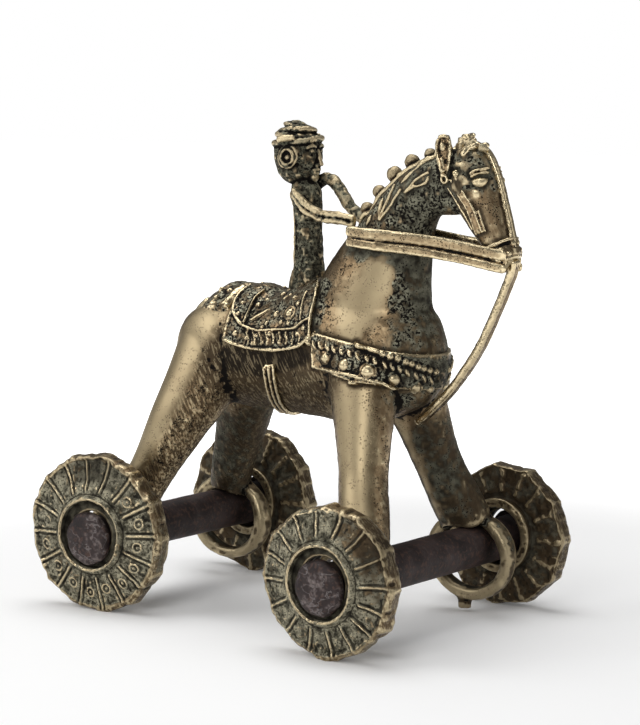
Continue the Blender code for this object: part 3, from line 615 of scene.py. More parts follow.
# %% Putting a finished piece in place
def settle(obj, body, slot, nodes, material, spacing, patina=0.0, polish_and_highlight=0.0, stroked=0.0, soot_and_shade=0.0):
    """Measures the relief, stores what the finish reads, and hangs the piece on its body."""
    mesh = obj.data
    mesh.materials.clear()
    mesh.materials.append(material)
    mesh.shade_smooth()
    measure_relief(mesh, spacing)
    # The polish area also carries painted highlights, and the darkening area holds soot and painted shade
    # alike.
    areas = {"patina": patina, "polish_and_highlight": polish_and_highlight, "stroked": stroked, "soot_and_shade": soot_and_shade}
    for name, values in areas.items():
        keep(mesh, name, values)
    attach(obj, body)
    if nodes:
        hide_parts(*nodes)
    triangles = sum(len(p.vertices) - 2 for p in mesh.polygons)
    print(f"{obj.name}: {triangles} triangles, replaces {', '.join(nodes) or 'nothing'}")


def cast_piece(name, nodes, shells, voxel, layers, seed, material, *areas, slot="polished_brass"):
    """A piece of the casting whose areas are even: melted, roughened and settled on the horse."""
    obj = skin_of(name, shells, voxel)
    roughen(obj.data, layers, seed)
    settle(obj, "horse", slot, nodes, material, voxel, *areas)
    return obj


# %% [markdown]
# The horse's core: a barrel, a thick neck, a small head and four legs that end in rings. The stations are the
# CAD solid's own, so the finished skin lies on that solid. Thighs, jaw and nostrils are added as more wax.

# %% The bare horse
TORSO = (
    (-43.4, 0, 79, 3, 3.6), (-40.6, 0, 79, 8.6, 8.6), (-35, 0, 80.6, 12.8, 13), (-29.5, 0, 82.4, 15.4, 16.4),
    (-23, 0, 84, 16.4, 18.8), (-15, 0, 84.6, 16.6, 19.6), (-6, 0, 83.8, 16.2, 18.6), (4, 0, 84.5, 16.2, 20.2),
    (14, 0, 86, 16.6, 22.4), (26, 0, 87, 17.2, 23.2), (37, 0, 87, 16.6, 21.6), (46, 0, 86.8, 14, 18),
    (52.6, 0, 86.8, 9.8, 13.6), (56.6, 0, 87, 3.6, 6),
)
NECK = (
    (28, 0, 93, 14.4, 20), (32.2, 0, 104.6, 13.2, 19.8), (35.6, 0, 113.4, 11.2, 17.2),
    (39.4, 0, 121.6, 9.4, 13.8), (43.6, 0, 130.2, 8.2, 11), (49.8, 0, 137.3, 7.4, 9.2),
    (57.1, 0, 140, 6.8, 9.4), (64, 0, 139.8, 6.2, 9.4),
)
HEAD = (
    (64.4, 0, 151.2, 4.8, 5.2), (66.6, 0, 147, 6.8, 7.8), (69.2, 0, 140.6, 7, 8.8), (72.6, 0, 133.2, 6, 7.8),
    (76.4, 0, 126.2, 5, 6.2), (79, 0, 120.8, 4.4, 4.7), (80.4, 0, 117.2, 3.8, 4), (81.8, 0, 114.8, 2, 2.4),
)
EAR = (
    (63.4, -5, 139, 1.4, 1.6), (62.6, -5.4, 144, 1.7, 2.4), (61.8, -5.4, 149, 1.8, 2.8),
    (61.3, -5.2, 152.4, 1.6, 2.4), (61, -5, 154.6, 1.1, 1.7),
)
FRONT_RING_X, REAR_RING_X = 48.4, -50.0
FRONT_RING_Z, REAR_RING_Z = 19.086, 20.878
FRONT_LEG = (
    (-15.4, -8, 68.9, 9.4, 13), (-12.4, -12, 55.9, 9.2, 11.6), (-9.8, -15.4, 45.9, 8.4, 9.8),
    (-6.4, -20.2, 30.9, 7.5, 7.9), (-2.8, -24.8, 18.9, 7.8, 8.5), (-0.2, -28.4, 10.4, 7.2, 9),
)
REAR_LEG = (
    (23, -7, 65.1, 9.8, 14), (19.5, -12, 52.1, 9.6, 12.6), (14, -17.2, 39.1, 8.6, 10.2),
    (7.8, -20.6, 26.1, 7.3, 8), (3, -23.6, 15.6, 6.7, 7.4), (0.6, -25.4, 9.1, 5.8, 7.3),
)
front_leg = np.array(FRONT_LEG) + (FRONT_RING_X, 0, FRONT_RING_Z, 0, 0)
rear_leg = np.array(REAR_LEG) + (REAR_RING_X, 0, REAR_RING_Z, 0, 0)
legs = both([loft(front_leg), loft(rear_leg)])
core = [loft(stations) for stations in (TORSO, NECK, HEAD)]
bare_horse = core + legs
ears = both([loft(EAR, 0.8, 20)])
core_shell = shell_of(skin_of("core", bare_horse, 0.8, 24))
horse_tree = tree_over([core_shell] + ears)
print("bare horse:", len(bare_horse), "lofts,", len(core_shell[0]), "points melted into one")


# %% [markdown]
# Each leg ends in a ring that hangs on its axle. A ring is an oval tube closed on itself: the middle line
# runs round the hole, and the section is a rounded block 6 mm wide.

# %% Leg rings
HOLE_HALF_HEIGHT, RING_STRETCH, RING_WALL, RING_HALF_WIDTH, RING_BLOCK = 10.8, 1.12, 3.8, 3.0, 0.62
RINGS = (
    (FRONT_RING_X, 29.9, FRONT_RING_Z), (FRONT_RING_X, -34.4, FRONT_RING_Z),
    (REAR_RING_X, 26.7, REAR_RING_Z), (REAR_RING_X, -26.7, REAR_RING_Z),
)


def leg_ring(centre, seed):
    """(a cos t, 0, c sin t) carries a rounded block, whose wall swells by 6% here and there."""
    t = np.linspace(0, 2 * math.pi, 96, endpoint=False)[:, None]
    s = np.linspace(0, 2 * math.pi, 24, endpoint=False)[None, :]
    swell = 1 + 0.06 * np.sin(3 * t + seed)
    radius = HOLE_HALF_HEIGHT + RING_WALL / 2 * (1 + squared(np.cos(s), RING_BLOCK) * swell)
    y = RING_HALF_WIDTH * squared(np.sin(s), RING_BLOCK) * swell
    rings = np.stack([radius * RING_STRETCH * np.cos(t), y + 0 * t, radius * np.sin(t)], axis=-1)
    return shell(rings + np.array(centre), closed=True)


rings = [leg_ring(centre, n) for n, centre in enumerate(RINGS)]


def clear_holes(points):
    """Pushes what has run into a ring's hole back to the hole's oval wall."""
    for x, y, z in RINGS:
        u, w = (points[:, 0] - x) / RING_STRETCH, points[:, 2] - z
        out = np.hypot(u, w)
        inside = (out < HOLE_HALF_HEIGHT) & (np.abs(points[:, 1] - y) < 15) & (w > -HOLE_HALF_HEIGHT)
        grow = np.where(inside, HOLE_HALF_HEIGHT / np.maximum(out, 0.5), 1.0)
        points = np.stack([x + u * grow * RING_STRETCH, points[:, 1], z + w * grow], axis=1)
    return points


# %% [markdown]
# The head's wax threads. The near eye's lids and bean and the folded ear are placed by their pixels, on the
# skin so that they melt in, and then mirrored.


# %% Threads on the horse's skin
def laid(tree, pixels, half_width, half_height, shape=None):
    """A thread on a surface through pixels."""
    path, normals = seen(tree, pixels)
    return thread(path, normals, half_width, half_height, shape=shape)


def laid_all(tree, rows):
    return [laid(tree, *row) for row in rows]


def dotted(tree, pixels, radius, height):
    return [bead(p, n, radius, height) for p, n in zip(*seen(tree, pixels))]


def blade(edges, y, thickness):
    """A leaf between pairs of edge pixels on the upright plane at y: flat ellipses from edge to edge."""
    rows = spline([(*left, *right) for left, right in edges], 3.0)
    left, right = on_plane(rows[:, :2], y), on_plane(rows[:, 2:], y)
    middle, half = (left + right) / 2, (right - left) / 2
    angle = circle(20)
    ring = np.cos(angle)[None, :, None] * half[:, None]
    return shell(middle[:, None] + ring + np.sin(angle)[None, :, None] * np.array((0.0, thickness, 0.0)))


EAR_PLANE, EAR_THICKNESS = -6.4, 1.7
ear_leaf = blade(
    (((439.5, 135.4), (448, 135)), ((437.4, 140), (450.2, 140)), ((436.2, 148), (450.4, 148)),
     ((437.4, 158), (449.4, 158)), ((440.0, 168), (447.8, 168)), ((442.8, 177), (446.4, 177))),
    EAR_PLANE, EAR_THICKNESS,
)
ear_threads = laid_all(tree_over([ear_leaf]), (
    ([(438.6, 138), (437.4, 147.4), (439, 160), (442, 171), (444.4, 178.4)], 0.62, 0.8),
    ([(449, 138.6), (449.4, 147), (448.4, 159), (446.8, 170), (445, 178.4)], 0.62, 0.8),
    ([(438.4, 137.6), (443.6, 136), (449, 138)], 0.6, 0.8),
    ([(442.4, 141), (442.2, 147), (443.2, 152)], 0.95, 0.7, spindle),
    ([(441.6, 157), (443, 165), (444.6, 173)], 0.5, 0.6),
))
place, normal = seen(horse_tree, [(445, 179)])
ear_threads.append(ringlet(place[0] + normal[0] * 0.3, normal[0], 1.15, 0.5))
eye = laid_all(horse_tree, (
    ([(469.2, 174.6), (473.6, 171.2), (479, 169.8), (484, 169.4), (489.4, 168)], 0.4, 0.9),
    ([(470, 178), (474.6, 175), (479.6, 173.6), (484.6, 173.2), (489, 172.6)], 0.36, 0.95),
    ([(470.8, 180.8), (476, 182.4), (482, 182.2), (488.4, 179.4)], 1.5, 1.5, spindle),
))
forelock = []
rng = np.random.default_rng(5)
for u in np.linspace(457.0, 487.0, 13):
    top = 147.0 - 8.0 * math.sin((u - 453.0) / 36.0 * math.pi) + rng.uniform(-1.6, 1.6)
    foot = on_plane([(u - 1.0, 152.0)], rng.uniform(-3.4, 2.4))[0]
    tip = on_plane([(u + rng.uniform(-1.5, 2), top)], foot[1])[0]
    forelock.append(thread([foot, (foot + tip) / 2, tip], (0.0, -1.0, 0.2), 1.1, 1.2))
jaw = both([bead((68.4, -4.2, 141.0), (0.1, -1, 0), 5.6, 3.4),
            bead((71.5, -5.2, 138.0), (0, -1, 0), 3.6, 1.8)])
nostril = both([bead((83.0, -2.2, 118.4), (0.5, -0.8, 0), 1.3, 0.7)])
print("head threads:", len(eye) + len(ear_threads) + len(forelock))

# %% The horse's skin
SKIN_VOXEL = 0.68
thighs = both([bead((-28.5, -11.0, 84.5), (-0.2, -1, 0.1), 14.0, 6.0, 40, 24)])
sprue = [loft(((46, 29.9, 8.2, 2.4, 2.4), (46, 29.9, 4.6, 2.3, 2.3), (46, 29.9, 1.2, 2.1, 2.1)), 0.6, 20)]
shells = [core_shell] + ears + rings + thighs + sprue + jaw + nostril
horse = skin_of("horse_skin", shells, SKIN_VOXEL, 2)
points = clear_holes(points_of(horse.data))
place_points(horse.data, points)
print("horse skin points:", len(points))


# %% [markdown]
# Where the horse is bright, brushed or green is read off the picture as soft lines and spots. The near side
# is looked at from the camera, and the far side takes the same marks through its mirror image. The fore leg's
# bright stripe is a painted highlight, and most dark areas are painted shade: the far legs, the insides of
# the legs, the skin under the saddle and the rein, and the chest and neck front that face away from the key
# lamp.


# %% Bright, brushed and green areas, painted highlight and painted shade
def near_line(pixels, line, width):
    """1 on a line of pixels, falling to 0 past its width: a smooth step of the distance to the line."""
    line = np.array(line, float)
    width = np.broadcast_to(width, len(line)).astype(float)
    best = np.full(len(pixels), 1e9)
    for a, b, wide, wide_next in zip(line, line[1:], width, width[1:]):
        t = np.clip(((pixels - a) @ (b - a)) / ((b - a) @ (b - a)), 0, 1)
        gap = np.linalg.norm(pixels - a - t[:, None] * (b - a), axis=1) / (wide + (wide_next - wide) * t)
        best = np.minimum(best, gap)
    return 1 - smooth_step(0.5, 1.5, best)


points, normals = points_of(horse.data), normals_of(horse.data)
x, y, z = points.T
side = np.sign(y)
look = on_picture(points * (1, 0, 1) - np.abs(points * (0, 1, 0)))
facing = smooth_step(0.05, 0.4, normals[:, 1] * side)
to_front = smooth_step(0.2, 0.5, -normals @ -BACK)
rump = near_line(look, [(214, 306), (196, 330), (172, 375), (150, 425), (136, 455)], (14, 15, 16, 15, 13))
shoulder = near_line(look, [(378, 272), (370, 288), (356, 312), (350, 330)], (14, 20, 20, 13))
# The fore leg's bright stripe is a painted highlight, kept to the side that faces the camera. The rump and
# shoulder stripes are polish.
fore_leg_highlight = near_line(look, [(352, 395), (354, 430), (354, 480), (354, 525)], (18, 22, 18, 16))
polish_and_highlight = np.maximum.reduce([rump * facing, shoulder * facing, fore_leg_highlight * to_front])
roughen(horse.data, ((9.0, 0.14), (3.2, 0.1), (1.3, 0.09)), share=1 - 0.85 * polish_and_highlight)
polish_and_highlight = np.clip(polish_and_highlight + noise(points, 2.2, 9) * 0.3 * (polish_and_highlight > 0.02) * (polish_and_highlight < 0.9), 0, 1)
flank = near_line(look, [(212, 345), (250, 385), (300, 392), (345, 400)], (30, 36, 30, 24))
thigh_back = near_line(look, [(228, 335), (204, 395), (176, 445), (156, 480)], (24, 28, 22, 18))
inner_legs = smooth_step(8.0, -6.0, y * side - 16 + z * 0.1) * smooth_step(70, 60, z)
on_face = smooth_step(64.0, 68.0, x) * smooth_step(141.0, 134.0, z)
neck_green = smooth_step(101.0, 116.0, z + (x - 36.0) * 0.9) * (1 - on_face)
chest_patina_and_shade = smooth_step(40.0, 50.0, x) * smooth_step(55.0, 72.0, z) * smooth_step(70.0, 60.0, x)
edge_green = near_line(look, [(322, 285), (318, 305), (314, 330)], (9, 8, 7)) * 0.7
# The far legs get painted shade: darker and greyer, with fewer strokes.
far_legs = smooth_step(4.0, 9.0, y) * smooth_step(74.0, 62.0, z)
stroked = np.clip((np.maximum(flank, thigh_back) * 0.6 + 0.15 - polish_and_highlight) * (1 - far_legs * 0.6), 0, 1)
low_green = smooth_step(66.0, 48.0, z) * 0.25
patina = np.maximum.reduce([neck_green * 0.72, chest_patina_and_shade * 0.6, edge_green, low_green, far_legs * 0.55])
patina = np.clip(patina - polish_and_highlight * 0.6, 0, 1)
below_saddle = near_line(look, [(230, 358), (262, 364), (300, 356)], (18, 20, 14))
below_rein = near_line(look, [(352, 248), (395, 260), (432, 268)], (9, 12, 14))
neck_front = near_line(look, [(412, 268), (424, 300), (438, 345)], (13, 17, 16))
patina = np.maximum(patina, neck_front * 0.5)
ring_dark, ring_wear_and_highlight = np.zeros(len(x)), np.zeros(len(x))
for ring_x, ring_y, ring_z in RINGS:
    out = np.hypot((x - ring_x) / RING_STRETCH, z - ring_z) - HOLE_HALF_HEIGHT
    near = smooth_step(6.0, 4.0, np.abs(y - ring_y)) * smooth_step(RING_WALL + 1.5, RING_WALL, out)
    ring_dark = np.maximum(ring_dark, near * 0.7)
    # Patches on each ring's outer wall are brightened: wear with a painted highlight on it.
    edge = near * smooth_step(1.8, 2.6, out) * smooth_step(-0.2, 0.3, noise(points, 4.0, 12))
    ring_wear_and_highlight = np.maximum(ring_wear_and_highlight, edge * 0.6)
polish_and_highlight = np.maximum(polish_and_highlight, ring_wear_and_highlight)
# Painted shade: the far legs, the insides of the legs, the flank and the skin under the saddle and the rein,
# and the chest and the neck's front, which face away from the key lamp. The leg rings, the face and the back
# of the thigh are darkened as well.
soot_and_shade = np.maximum.reduce([
    far_legs * 0.82, inner_legs * 0.55, below_saddle, flank * 0.78, thigh_back * 0.15, chest_patina_and_shade * 0.5,
    below_rein * 0.85, on_face * 0.25, neck_front * 0.7, ring_dark,
])
soot_and_shade = np.clip(soot_and_shade - polish_and_highlight, 0, 1)
settle(horse, "horse", "polished_brass", ["horse_body"], casting_brass, SKIN_VOXEL, patina, polish_and_highlight, stroked,
       soot_and_shade)
HEAD_VOXEL, EAR_VOXEL = 0.3, 0.28
head_wax = skin_of("head_wax", both(eye) + forelock, HEAD_VOXEL)
roughen(head_wax.data, ((1.6, 0.09), (0.8, 0.07)), 11)
on_crown = smooth_step(146.5, 149.5, points_of(head_wax.data)[:, 2])
settle(
    head_wax, "horse", "polished_brass", [], sooty_brass, HEAD_VOXEL,
    on_crown * 0.9 - 0.4, (1 - on_crown) * 0.4, 0, on_crown * 0.35,
)
ear_wax = both(ear_threads + [ear_leaf])
cast_piece("folded_ears", [], ear_wax, EAR_VOXEL, ((1.6, 0.07), (0.8, 0.05)), 12, harness_brass, 0.05)


# %% [markdown]
# Saddle, crupper and collar are flat strips of wax laid on the body. Each is a sheet worked out on a grid:
# rays towards the body's middle line find the skin, and the sheet's outer face stands off it.


# %% Sheets on the body
RAY_REACH = 27.0


def rays_onto(tree, centre, outwards):
    """Where rays from outside, back along the outward directions, first meet the skin."""
    hits = []
    for start, out in zip(centre.reshape(-1, 3), np.broadcast_to(outwards, centre.shape).reshape(-1, 3)):
        hit = tree.ray_cast(Vector(start + out * RAY_REACH), Vector(-out))[0]
        hits.append(start if hit is None else np.array(hit))
    return np.array(hits).reshape(centre.shape)


def sheet(hits, outwards, inner, outer):
    """A slab between two heights over a grid of hits: rings run over the top and back underneath."""
    normal = unit(np.cross(np.gradient(hits, axis=0), np.gradient(hits, axis=1)))
    normal = normal * np.sign((normal * outwards).sum(-1, keepdims=True))
    outer = np.broadcast_to(outer, hits.shape[:2])[..., None]
    top, under = hits + normal * outer, hits + normal * inner
    return shell(np.concatenate([top, under[:, ::-1]], axis=1))


def torso_height(x):
    return np.interp(x, [row[0] for row in TORSO], [row[2] for row in TORSO])


def torso_rays(x, angle):
    """Rays square to the barrel's middle line, at an angle from the top: (0, sin a, cos a)."""
    centre = np.stack([x, 0 * x, torso_height(x)], axis=-1)
    return centre, np.stack([0 * x, np.sin(angle), np.cos(angle)], axis=-1)


def torso_place(points):
    """The x and the angle from the top at which points lie on the barrel."""
    x, y, z = points.T
    return np.stack([x, np.arctan2(y, z - torso_height(x))], axis=1)


def along(line, shares):
    """Points at shares of a line's length."""
    steps = np.concatenate([[0], np.cumsum(np.linalg.norm(np.diff(line, axis=0), axis=1))])
    return np.stack([np.interp(shares * steps[-1], steps, column) for column in line.T], axis=-1)


def patch(rear, bottom, front, top, count_u, count_v):
    """A Coons patch: the two ruled surfaces between opposite edges added up, less the one between corners."""
    u, v = np.linspace(0, 1, count_u), np.linspace(0, 1, count_v)
    left, right = along(rear, v)[None], along(front, v)[None]
    up, down = along(top, u)[:, None], along(bottom, u)[:, None]
    u, v = u[:, None, None], v[None, :, None]
    corners = (1 - u) * (1 - v) * up[0, 0] + u * (1 - v) * up[-1, 0]
    corners = corners + (1 - u) * v * down[0, 0] + u * v * down[-1, 0]
    return (1 - v) * up + v * down + (1 - u) * left + u * right - corners


# %% Saddle cloth
CLOTH_HEIGHT = 1.3


def grown(points, faces, distance):
    """A shell whose points are moved outwards, each along the normal of one of its triangles."""
    a, b, c = (points[column] for column in faces.T)
    lift = unit(np.cross(b - a, c - a)) * distance
    moved = points.copy()
    for column in faces.T:
        moved[column] = points[column] + lift
    return moved, faces


cloth_tree = tree_over([grown(*core_shell, CLOTH_HEIGHT)])


def as_angles(pixels):
    return torso_place(seen(cloth_tree, pixels)[0])


saddle_rear = as_angles([(234, 297.6), (231.4, 307.8), (225.8, 319), (221.2, 340.4)])
saddle_rear = np.vstack([[-16.8, 0.0], [-17.2, saddle_rear[0, 1] * 0.55], saddle_rear])
print("saddle's rear edge", saddle_rear.round(2).tolist())
saddle_bottom = as_angles([
    (221.2, 340.4), (234, 345.5), (250.3, 350.1), (269.7, 351.6), (283, 351.1), (298.3, 347.6), (310, 337.3),
])
saddle_front = as_angles([(318.7, 283), (315.6, 300.6), (311.5, 319), (310, 337.3)])
saddle_front = np.vstack([[10.8, 0.0], saddle_front])
saddle_top = np.array([saddle_rear[0], saddle_front[0]])
near_half = patch(saddle_rear, saddle_bottom, saddle_front, saddle_top, 60, 40)
whole = np.concatenate([near_half[:, ::-1], near_half[:, 1:] * (1, -1)], axis=1)
centre, outwards = torso_rays(whole[..., 0], whole[..., 1])
hits = rays_onto(horse_tree, centre, outwards)
cantle = np.exp(-(((whole[..., 0] + 12.0) / 3.6) ** 2) - (whole[..., 1] / 0.75) ** 2)
saddle_slab = sheet(hits, outwards, -1.0, 1.25 + cantle)
saddle_tree = tree_over([saddle_slab])
print("saddle sheet:", hits.shape, "x", whole[..., 0].min().round(1), whole[..., 0].max().round(1))

# %% Threads, dots and leaves on the saddle
saddle_threads = laid_all(saddle_tree, (
    ([(252, 284.6), (243.6, 290.4), (236.4, 298.6), (233.4, 307.8), (235, 315), (239.4, 322), (242, 325)],
     0.6, 0.85),
    ([(232.6, 308), (228.5, 319), (224, 337)], 0.5, 0.6),
    ([(223, 339), (234, 343.9), (250.3, 348.4), (269.7, 350), (283, 349.4), (297.6, 346), (308.4, 337)],
     0.55, 0.55),
    ([(316.6, 286), (314, 301), (309.8, 319), (308.8, 336.4)], 0.55, 0.6),
    ([(265.6, 289.4), (255.4, 297.6), (250.3, 307.8), (243.7, 323)], 0.45, 0.8),
    ([(242, 325), (256.4, 330.2), (274.8, 329.7), (293.2, 328.2), (302.3, 322), (309.5, 318)], 0.42, 0.8),
    ([(307.4, 290.4), (303.4, 300.6), (300.3, 321)], 0.38, 0.7),
    ([(286, 292), (289, 286.6), (295, 284), (300.4, 287)], 0.4, 0.5),
    ([(283, 300), (287, 296.4), (292, 294.2)], 0.34, 0.45),
    ([(224, 305), (229, 300), (236, 296.4)], 0.34, 0.45),
))
for pixel, radius in (
    ((242, 302.7), 0.75), ((267, 300), 0.85), ((258.5, 304.7), 1.0), ((294.7, 297.6), 0.8),
    ((297.8, 303.7), 0.8),
    ((283.5, 294.5), 1.25), ((266.6, 323), 0.7), ((281, 322), 0.75), ((270.2, 333.3), 0.95),
    ((238, 313.9), 0.8),
    ((235, 333.3), 0.9), ((276.3, 313.9), 1.0), ((290, 312.9), 1.45), ((288, 323), 0.7), ((296, 325), 0.7),
    ((262, 327), 0.6), ((248, 330), 0.6), ((256, 336), 0.7), ((286, 336), 0.75), ((297, 334), 0.8),
    ((303, 328), 0.7),
    ((279, 342), 0.7), ((262, 342), 0.7), ((292, 341), 0.65), ((252, 343), 0.6), ((246, 338), 0.6),
):
    saddle_threads += dotted(saddle_tree, [pixel], radius, radius * 0.8)
place, normal = seen(saddle_tree, [(290, 312.9)])
saddle_threads.append(ringlet(place[0], normal[0], 2.1, 0.34))
saddle_threads.append(laid(saddle_tree, [(248, 322), (257, 316.6), (265, 312), (272.6, 308)], 0.95, 0.7,
                           spindle))
for n in range(9):
    top = np.array((246.0, 331.0)) + (n * 6.6, n * 0.1)
    foot = np.array((248.4, 345.0)) + (n * 6.2, 0.7 * math.sin(n))
    saddle_threads.append(laid(saddle_tree, [top, (top + foot) / 2 + (1.2, 0), foot], 0.36, 0.55))
SADDLE_VOXEL, SADDLE_SPACING = 0.31, 0.36
saddle = skin_of("saddle_cloth_relief", [saddle_slab] + both(saddle_threads), SADDLE_VOXEL)
roughen(saddle.data, ((2.2, 0.06), (0.9, 0.08), (5.0, 0.1)), 20)
settle(saddle, "horse", "patinated_brass", ["saddle_cloth"], green_brass, SADDLE_SPACING, 0.05)

# %% Crupper cloth
x, angle = np.meshgrid(np.linspace(-31.0, -17.0, 44), np.radians(np.linspace(-47, 47, 60)), indexing="ij")
centre, outwards = torso_rays(x - 2.5 * angle**2, angle)
across = (x + 24.0) / 7.0
rise = 2.7 * (1 - 0.75 * across**2) * (1 - 0.3 * (angle / 0.87) ** 2) + 0.35 * np.cos(across * math.pi * 2.6)
held = smooth_step(0.82, 0.62, np.abs(angle))
top = np.maximum(rise, 0.4) * held - 0.4 * (1 - held)
crupper_slab = sheet(rays_onto(horse_tree, centre, outwards), outwards, -1.0, top)
crupper_dots = [(221.7, 289), (229.4, 290), (225.8, 305.7), (216, 297)]
crupper_threads = dotted(tree_over([crupper_slab]), crupper_dots, 0.9, 0.8)
cast_piece(
    "crupper_relief", ["crupper_cloth"], [crupper_slab] + both(crupper_threads), 0.4,
    ((2.2, 0.1), (0.9, 0.09)), 24, green_brass, 0.1, slot="patinated_brass",
)

# %% Girth
angle, lane = np.meshgrid(np.radians(np.linspace(98, 262, 80)), np.linspace(-1.9, 1.9, 11), indexing="ij")
sweep_back = np.sin(np.abs(angle - math.pi) / (math.pi - math.radians(99)) * math.pi / 2)
centre, outwards = torso_rays(-1.9 + 3.6 * sweep_back + lane, angle)
girth_hits = rays_onto(horse_tree, centre, outwards)
girth_shells = [sheet(girth_hits, outwards, -0.8, 0.5)]
for column in (0, 5, 10):
    lane = girth_hits[::2, column] + outwards[::2, column] * 0.5
    girth_shells.append(thread(lane, outwards[::2, column], 0.55, 0.75))
girth_roughness = ((1.6, 0.09), (0.8, 0.07))
girth = cast_piece("girth_relief", ["girth_strap"], girth_shells, 0.36, girth_roughness, 27, harness_brass,
                   0.1)


# %% [markdown]
# The breast collar runs round the chest. Its top is a smooth ridge that turns into a row of beads, slanted
# drops hang below it, and a row of large bosses sits above the lower edge.


# %% Breast collar
def collar_rays(share, up):
    """Along one side, round the chest on a half circle, and back along the other side."""
    rear, turn_x, bend = 19.6, 38.0, math.pi * 16.0
    straight = turn_x - rear
    run = share * (2 * straight + bend)
    turn = np.clip((run - straight) / bend, 0.0, 1.0) * math.pi
    x = turn_x - np.maximum(straight - run, 0) - np.maximum(run - straight - bend, 0)
    low = (x - rear) / straight * 0.5 + np.sin(turn) * 0.5
    centre = np.stack([x, 0 * x, 88.0 - 5.4 * low + up], axis=-1)
    return centre, np.stack([np.sin(turn), -np.cos(turn), 0 * x], axis=-1)


share, up = np.meshgrid(np.linspace(0, 1, 150), np.linspace(-5.5, 5.5, 24), indexing="ij")
centre, outwards = collar_rays(share, up)
collar_slab = sheet(rays_onto(horse_tree, centre, outwards), outwards, -1.0, 0.95)
collar_tree = tree_over([collar_slab])
collar_threads = laid_all(collar_tree, (
    ([(328, 334.5), (343.4, 340.4), (356.4, 344.2), (367.2, 348.2), (380, 352)], 0.85, 0.9),
    ([(306.5, 364), (325, 369.4), (345.5, 374), (360.7, 378.2), (381.3, 383), (397.6, 388), (417, 394.5),
      (432, 397)], 0.6, 0.7),
    ([(306.5, 364), (304.6, 352), (310.4, 340), (318, 334)], 0.55, 0.6),
    ([(312, 336), (317, 333.4), (323, 333.6)], 0.9, 0.7, spindle),
    ([(380, 353), (400, 359.6), (420, 366.6), (440, 372)], 0.35, 0.4),
))
collar_threads += dotted(
    collar_tree,
    [(382.4, 353.7), (390, 356.4), (398.1, 358.6), (405.7, 361.9), (411.7, 364), (418.2, 366.7),
     (423.6, 368.4), (430, 370.4), (436, 372)],
    1.1, 0.95,
)
collar_threads += dotted(collar_tree, [(327.6, 335.3)], 1.7, 1.2)
for u, v in (
    (314, 345), (320, 345.6), (327.1, 347.2), (333.6, 349.4), (341.2, 351.6), (349.3, 353.7), (357.5, 356.4),
    (366.7, 358.6), (374.8, 361.3), (384.6, 365.1), (392.2, 367.3), (399.7, 369.5), (407.3, 372.7),
    (416, 376),
    (424, 378.6), (431, 381),
):
    drop = [(u - 1.8, v - 4.4), (u, v), (u + 2.0, v + 4.2)]
    collar_threads.append(laid(collar_tree, drop, 0.62, 0.75, spindle))
bosses = []
for (u, v), radius in (
    ((309.2, 352.6), 1.1), ((325.5, 358), 1.6), ((344.5, 365), 2.0), ((367.8, 371.6), 2.2),
    ((394, 379.8), 2.0),
    ((415.8, 388), 1.6), ((430.6, 389.6), 1.2),
):
    place, normal = seen(collar_tree, [(u, v)])
    bosses.append((place[0], radius))
    collar_threads.append(bead(place[0], normal[0], radius, radius * 0.7, 20, 10))
    if radius > 1.4:
        collar_threads.append(ringlet(place[0], normal[0], radius + 0.25, 0.3))
COLLAR_VOXEL = 0.33
collar = skin_of("breast_collar_relief", [collar_slab] + both(collar_threads), COLLAR_VOXEL)
roughen(collar.data, ((1.8, 0.06), (0.8, 0.07)), 31)
points = points_of(collar.data)
at_front = smooth_step(44.0, 54.0, points[:, 0])
on_boss = 0
for place, radius in bosses:
    gap = np.linalg.norm(points * (1, 0, 1) - np.abs(points * (0, 1, 0)) - place, axis=1)
    on_boss = np.maximum(on_boss, smooth_step(radius, radius - 0.5, gap))
settle(
    collar, "horse", "polished_brass", ["breast_collar"], green_brass, COLLAR_VOXEL,
    at_front * 0.4, on_boss, 0, at_front * 0.55,
)

# %% [markdown]
# The mane is a row of beads along the crest, with narrow leaves pressed on both sides of the neck.

# %% Mane
crest_line = on_plane(
    [(360, 224), (366, 213), (373.3, 209), (381.7, 193.5), (394, 182), (408.5, 168.3), (424, 160),
     (438, 154)], -1.0
)
crest_up = np.array((-0.8, 0.0, 0.6))
mane_shells = [thread(crest_line - crest_up, crest_up, 3.0, 1.2, sides=16)]
for place in spline(crest_line, 1.5):
    jitter = rng.uniform(-0.7, 0.7, 3)
    place = place + jitter * (0.5, 3.0, 0.5) + (0.5, 0, -0.4)
    mane_shells.append(bead(place, (-0.7, 0.3 * jitter[1], 0.7), 1.1, 0.9))
for (u, v), radius in (
    ((411.6, 160.6), 2.5), ((394, 172.8), 2.6), ((378.7, 190.4), 2.2), ((366.8, 207.7), 2.35),
    ((429.9, 153), 2.0),
):
    mane_shells.append(bead(on_plane([(u + 0.8, v + 1.4)], 0.0)[0], (-0.7, 0, 0.7), radius, radius, 20, 12))
leaves = laid_all(horse_tree, (
    ([(403.9, 193.5), (410, 186.6), (416.2, 179.7), (426.1, 173.6), (430, 172.8)], 0.42, 0.6),
    ([(404.4, 193), (413.9, 186.6), (418.5, 186), (426.1, 182.4), (429, 175.9)], 0.42, 0.6),
    ([(395.5, 183.6), (390.1, 195), (385, 206), (378.4, 220)], 0.42, 0.6),
    ([(401.6, 188.1), (394, 199.6), (390.1, 206.5), (379, 221)], 0.42, 0.6),
    ([(383.3, 196.6), (380.6, 206), (378.7, 218)], 0.8, 0.7, spindle),
    ([(416, 168), (408, 176), (400, 184)], 0.7, 0.6, spindle),
    ([(372, 214), (369, 220), (366, 227)], 0.7, 0.6, spindle),
    ([(398, 178), (391, 184), (386, 190)], 0.6, 0.6, spindle),
    ([(428, 160), (420, 165), (414, 171)], 0.55, 0.6, spindle),
))
leaves += dotted(horse_tree, [(413.9, 186.2)], 0.6, 0.7)
MANE_VOXEL = 0.34
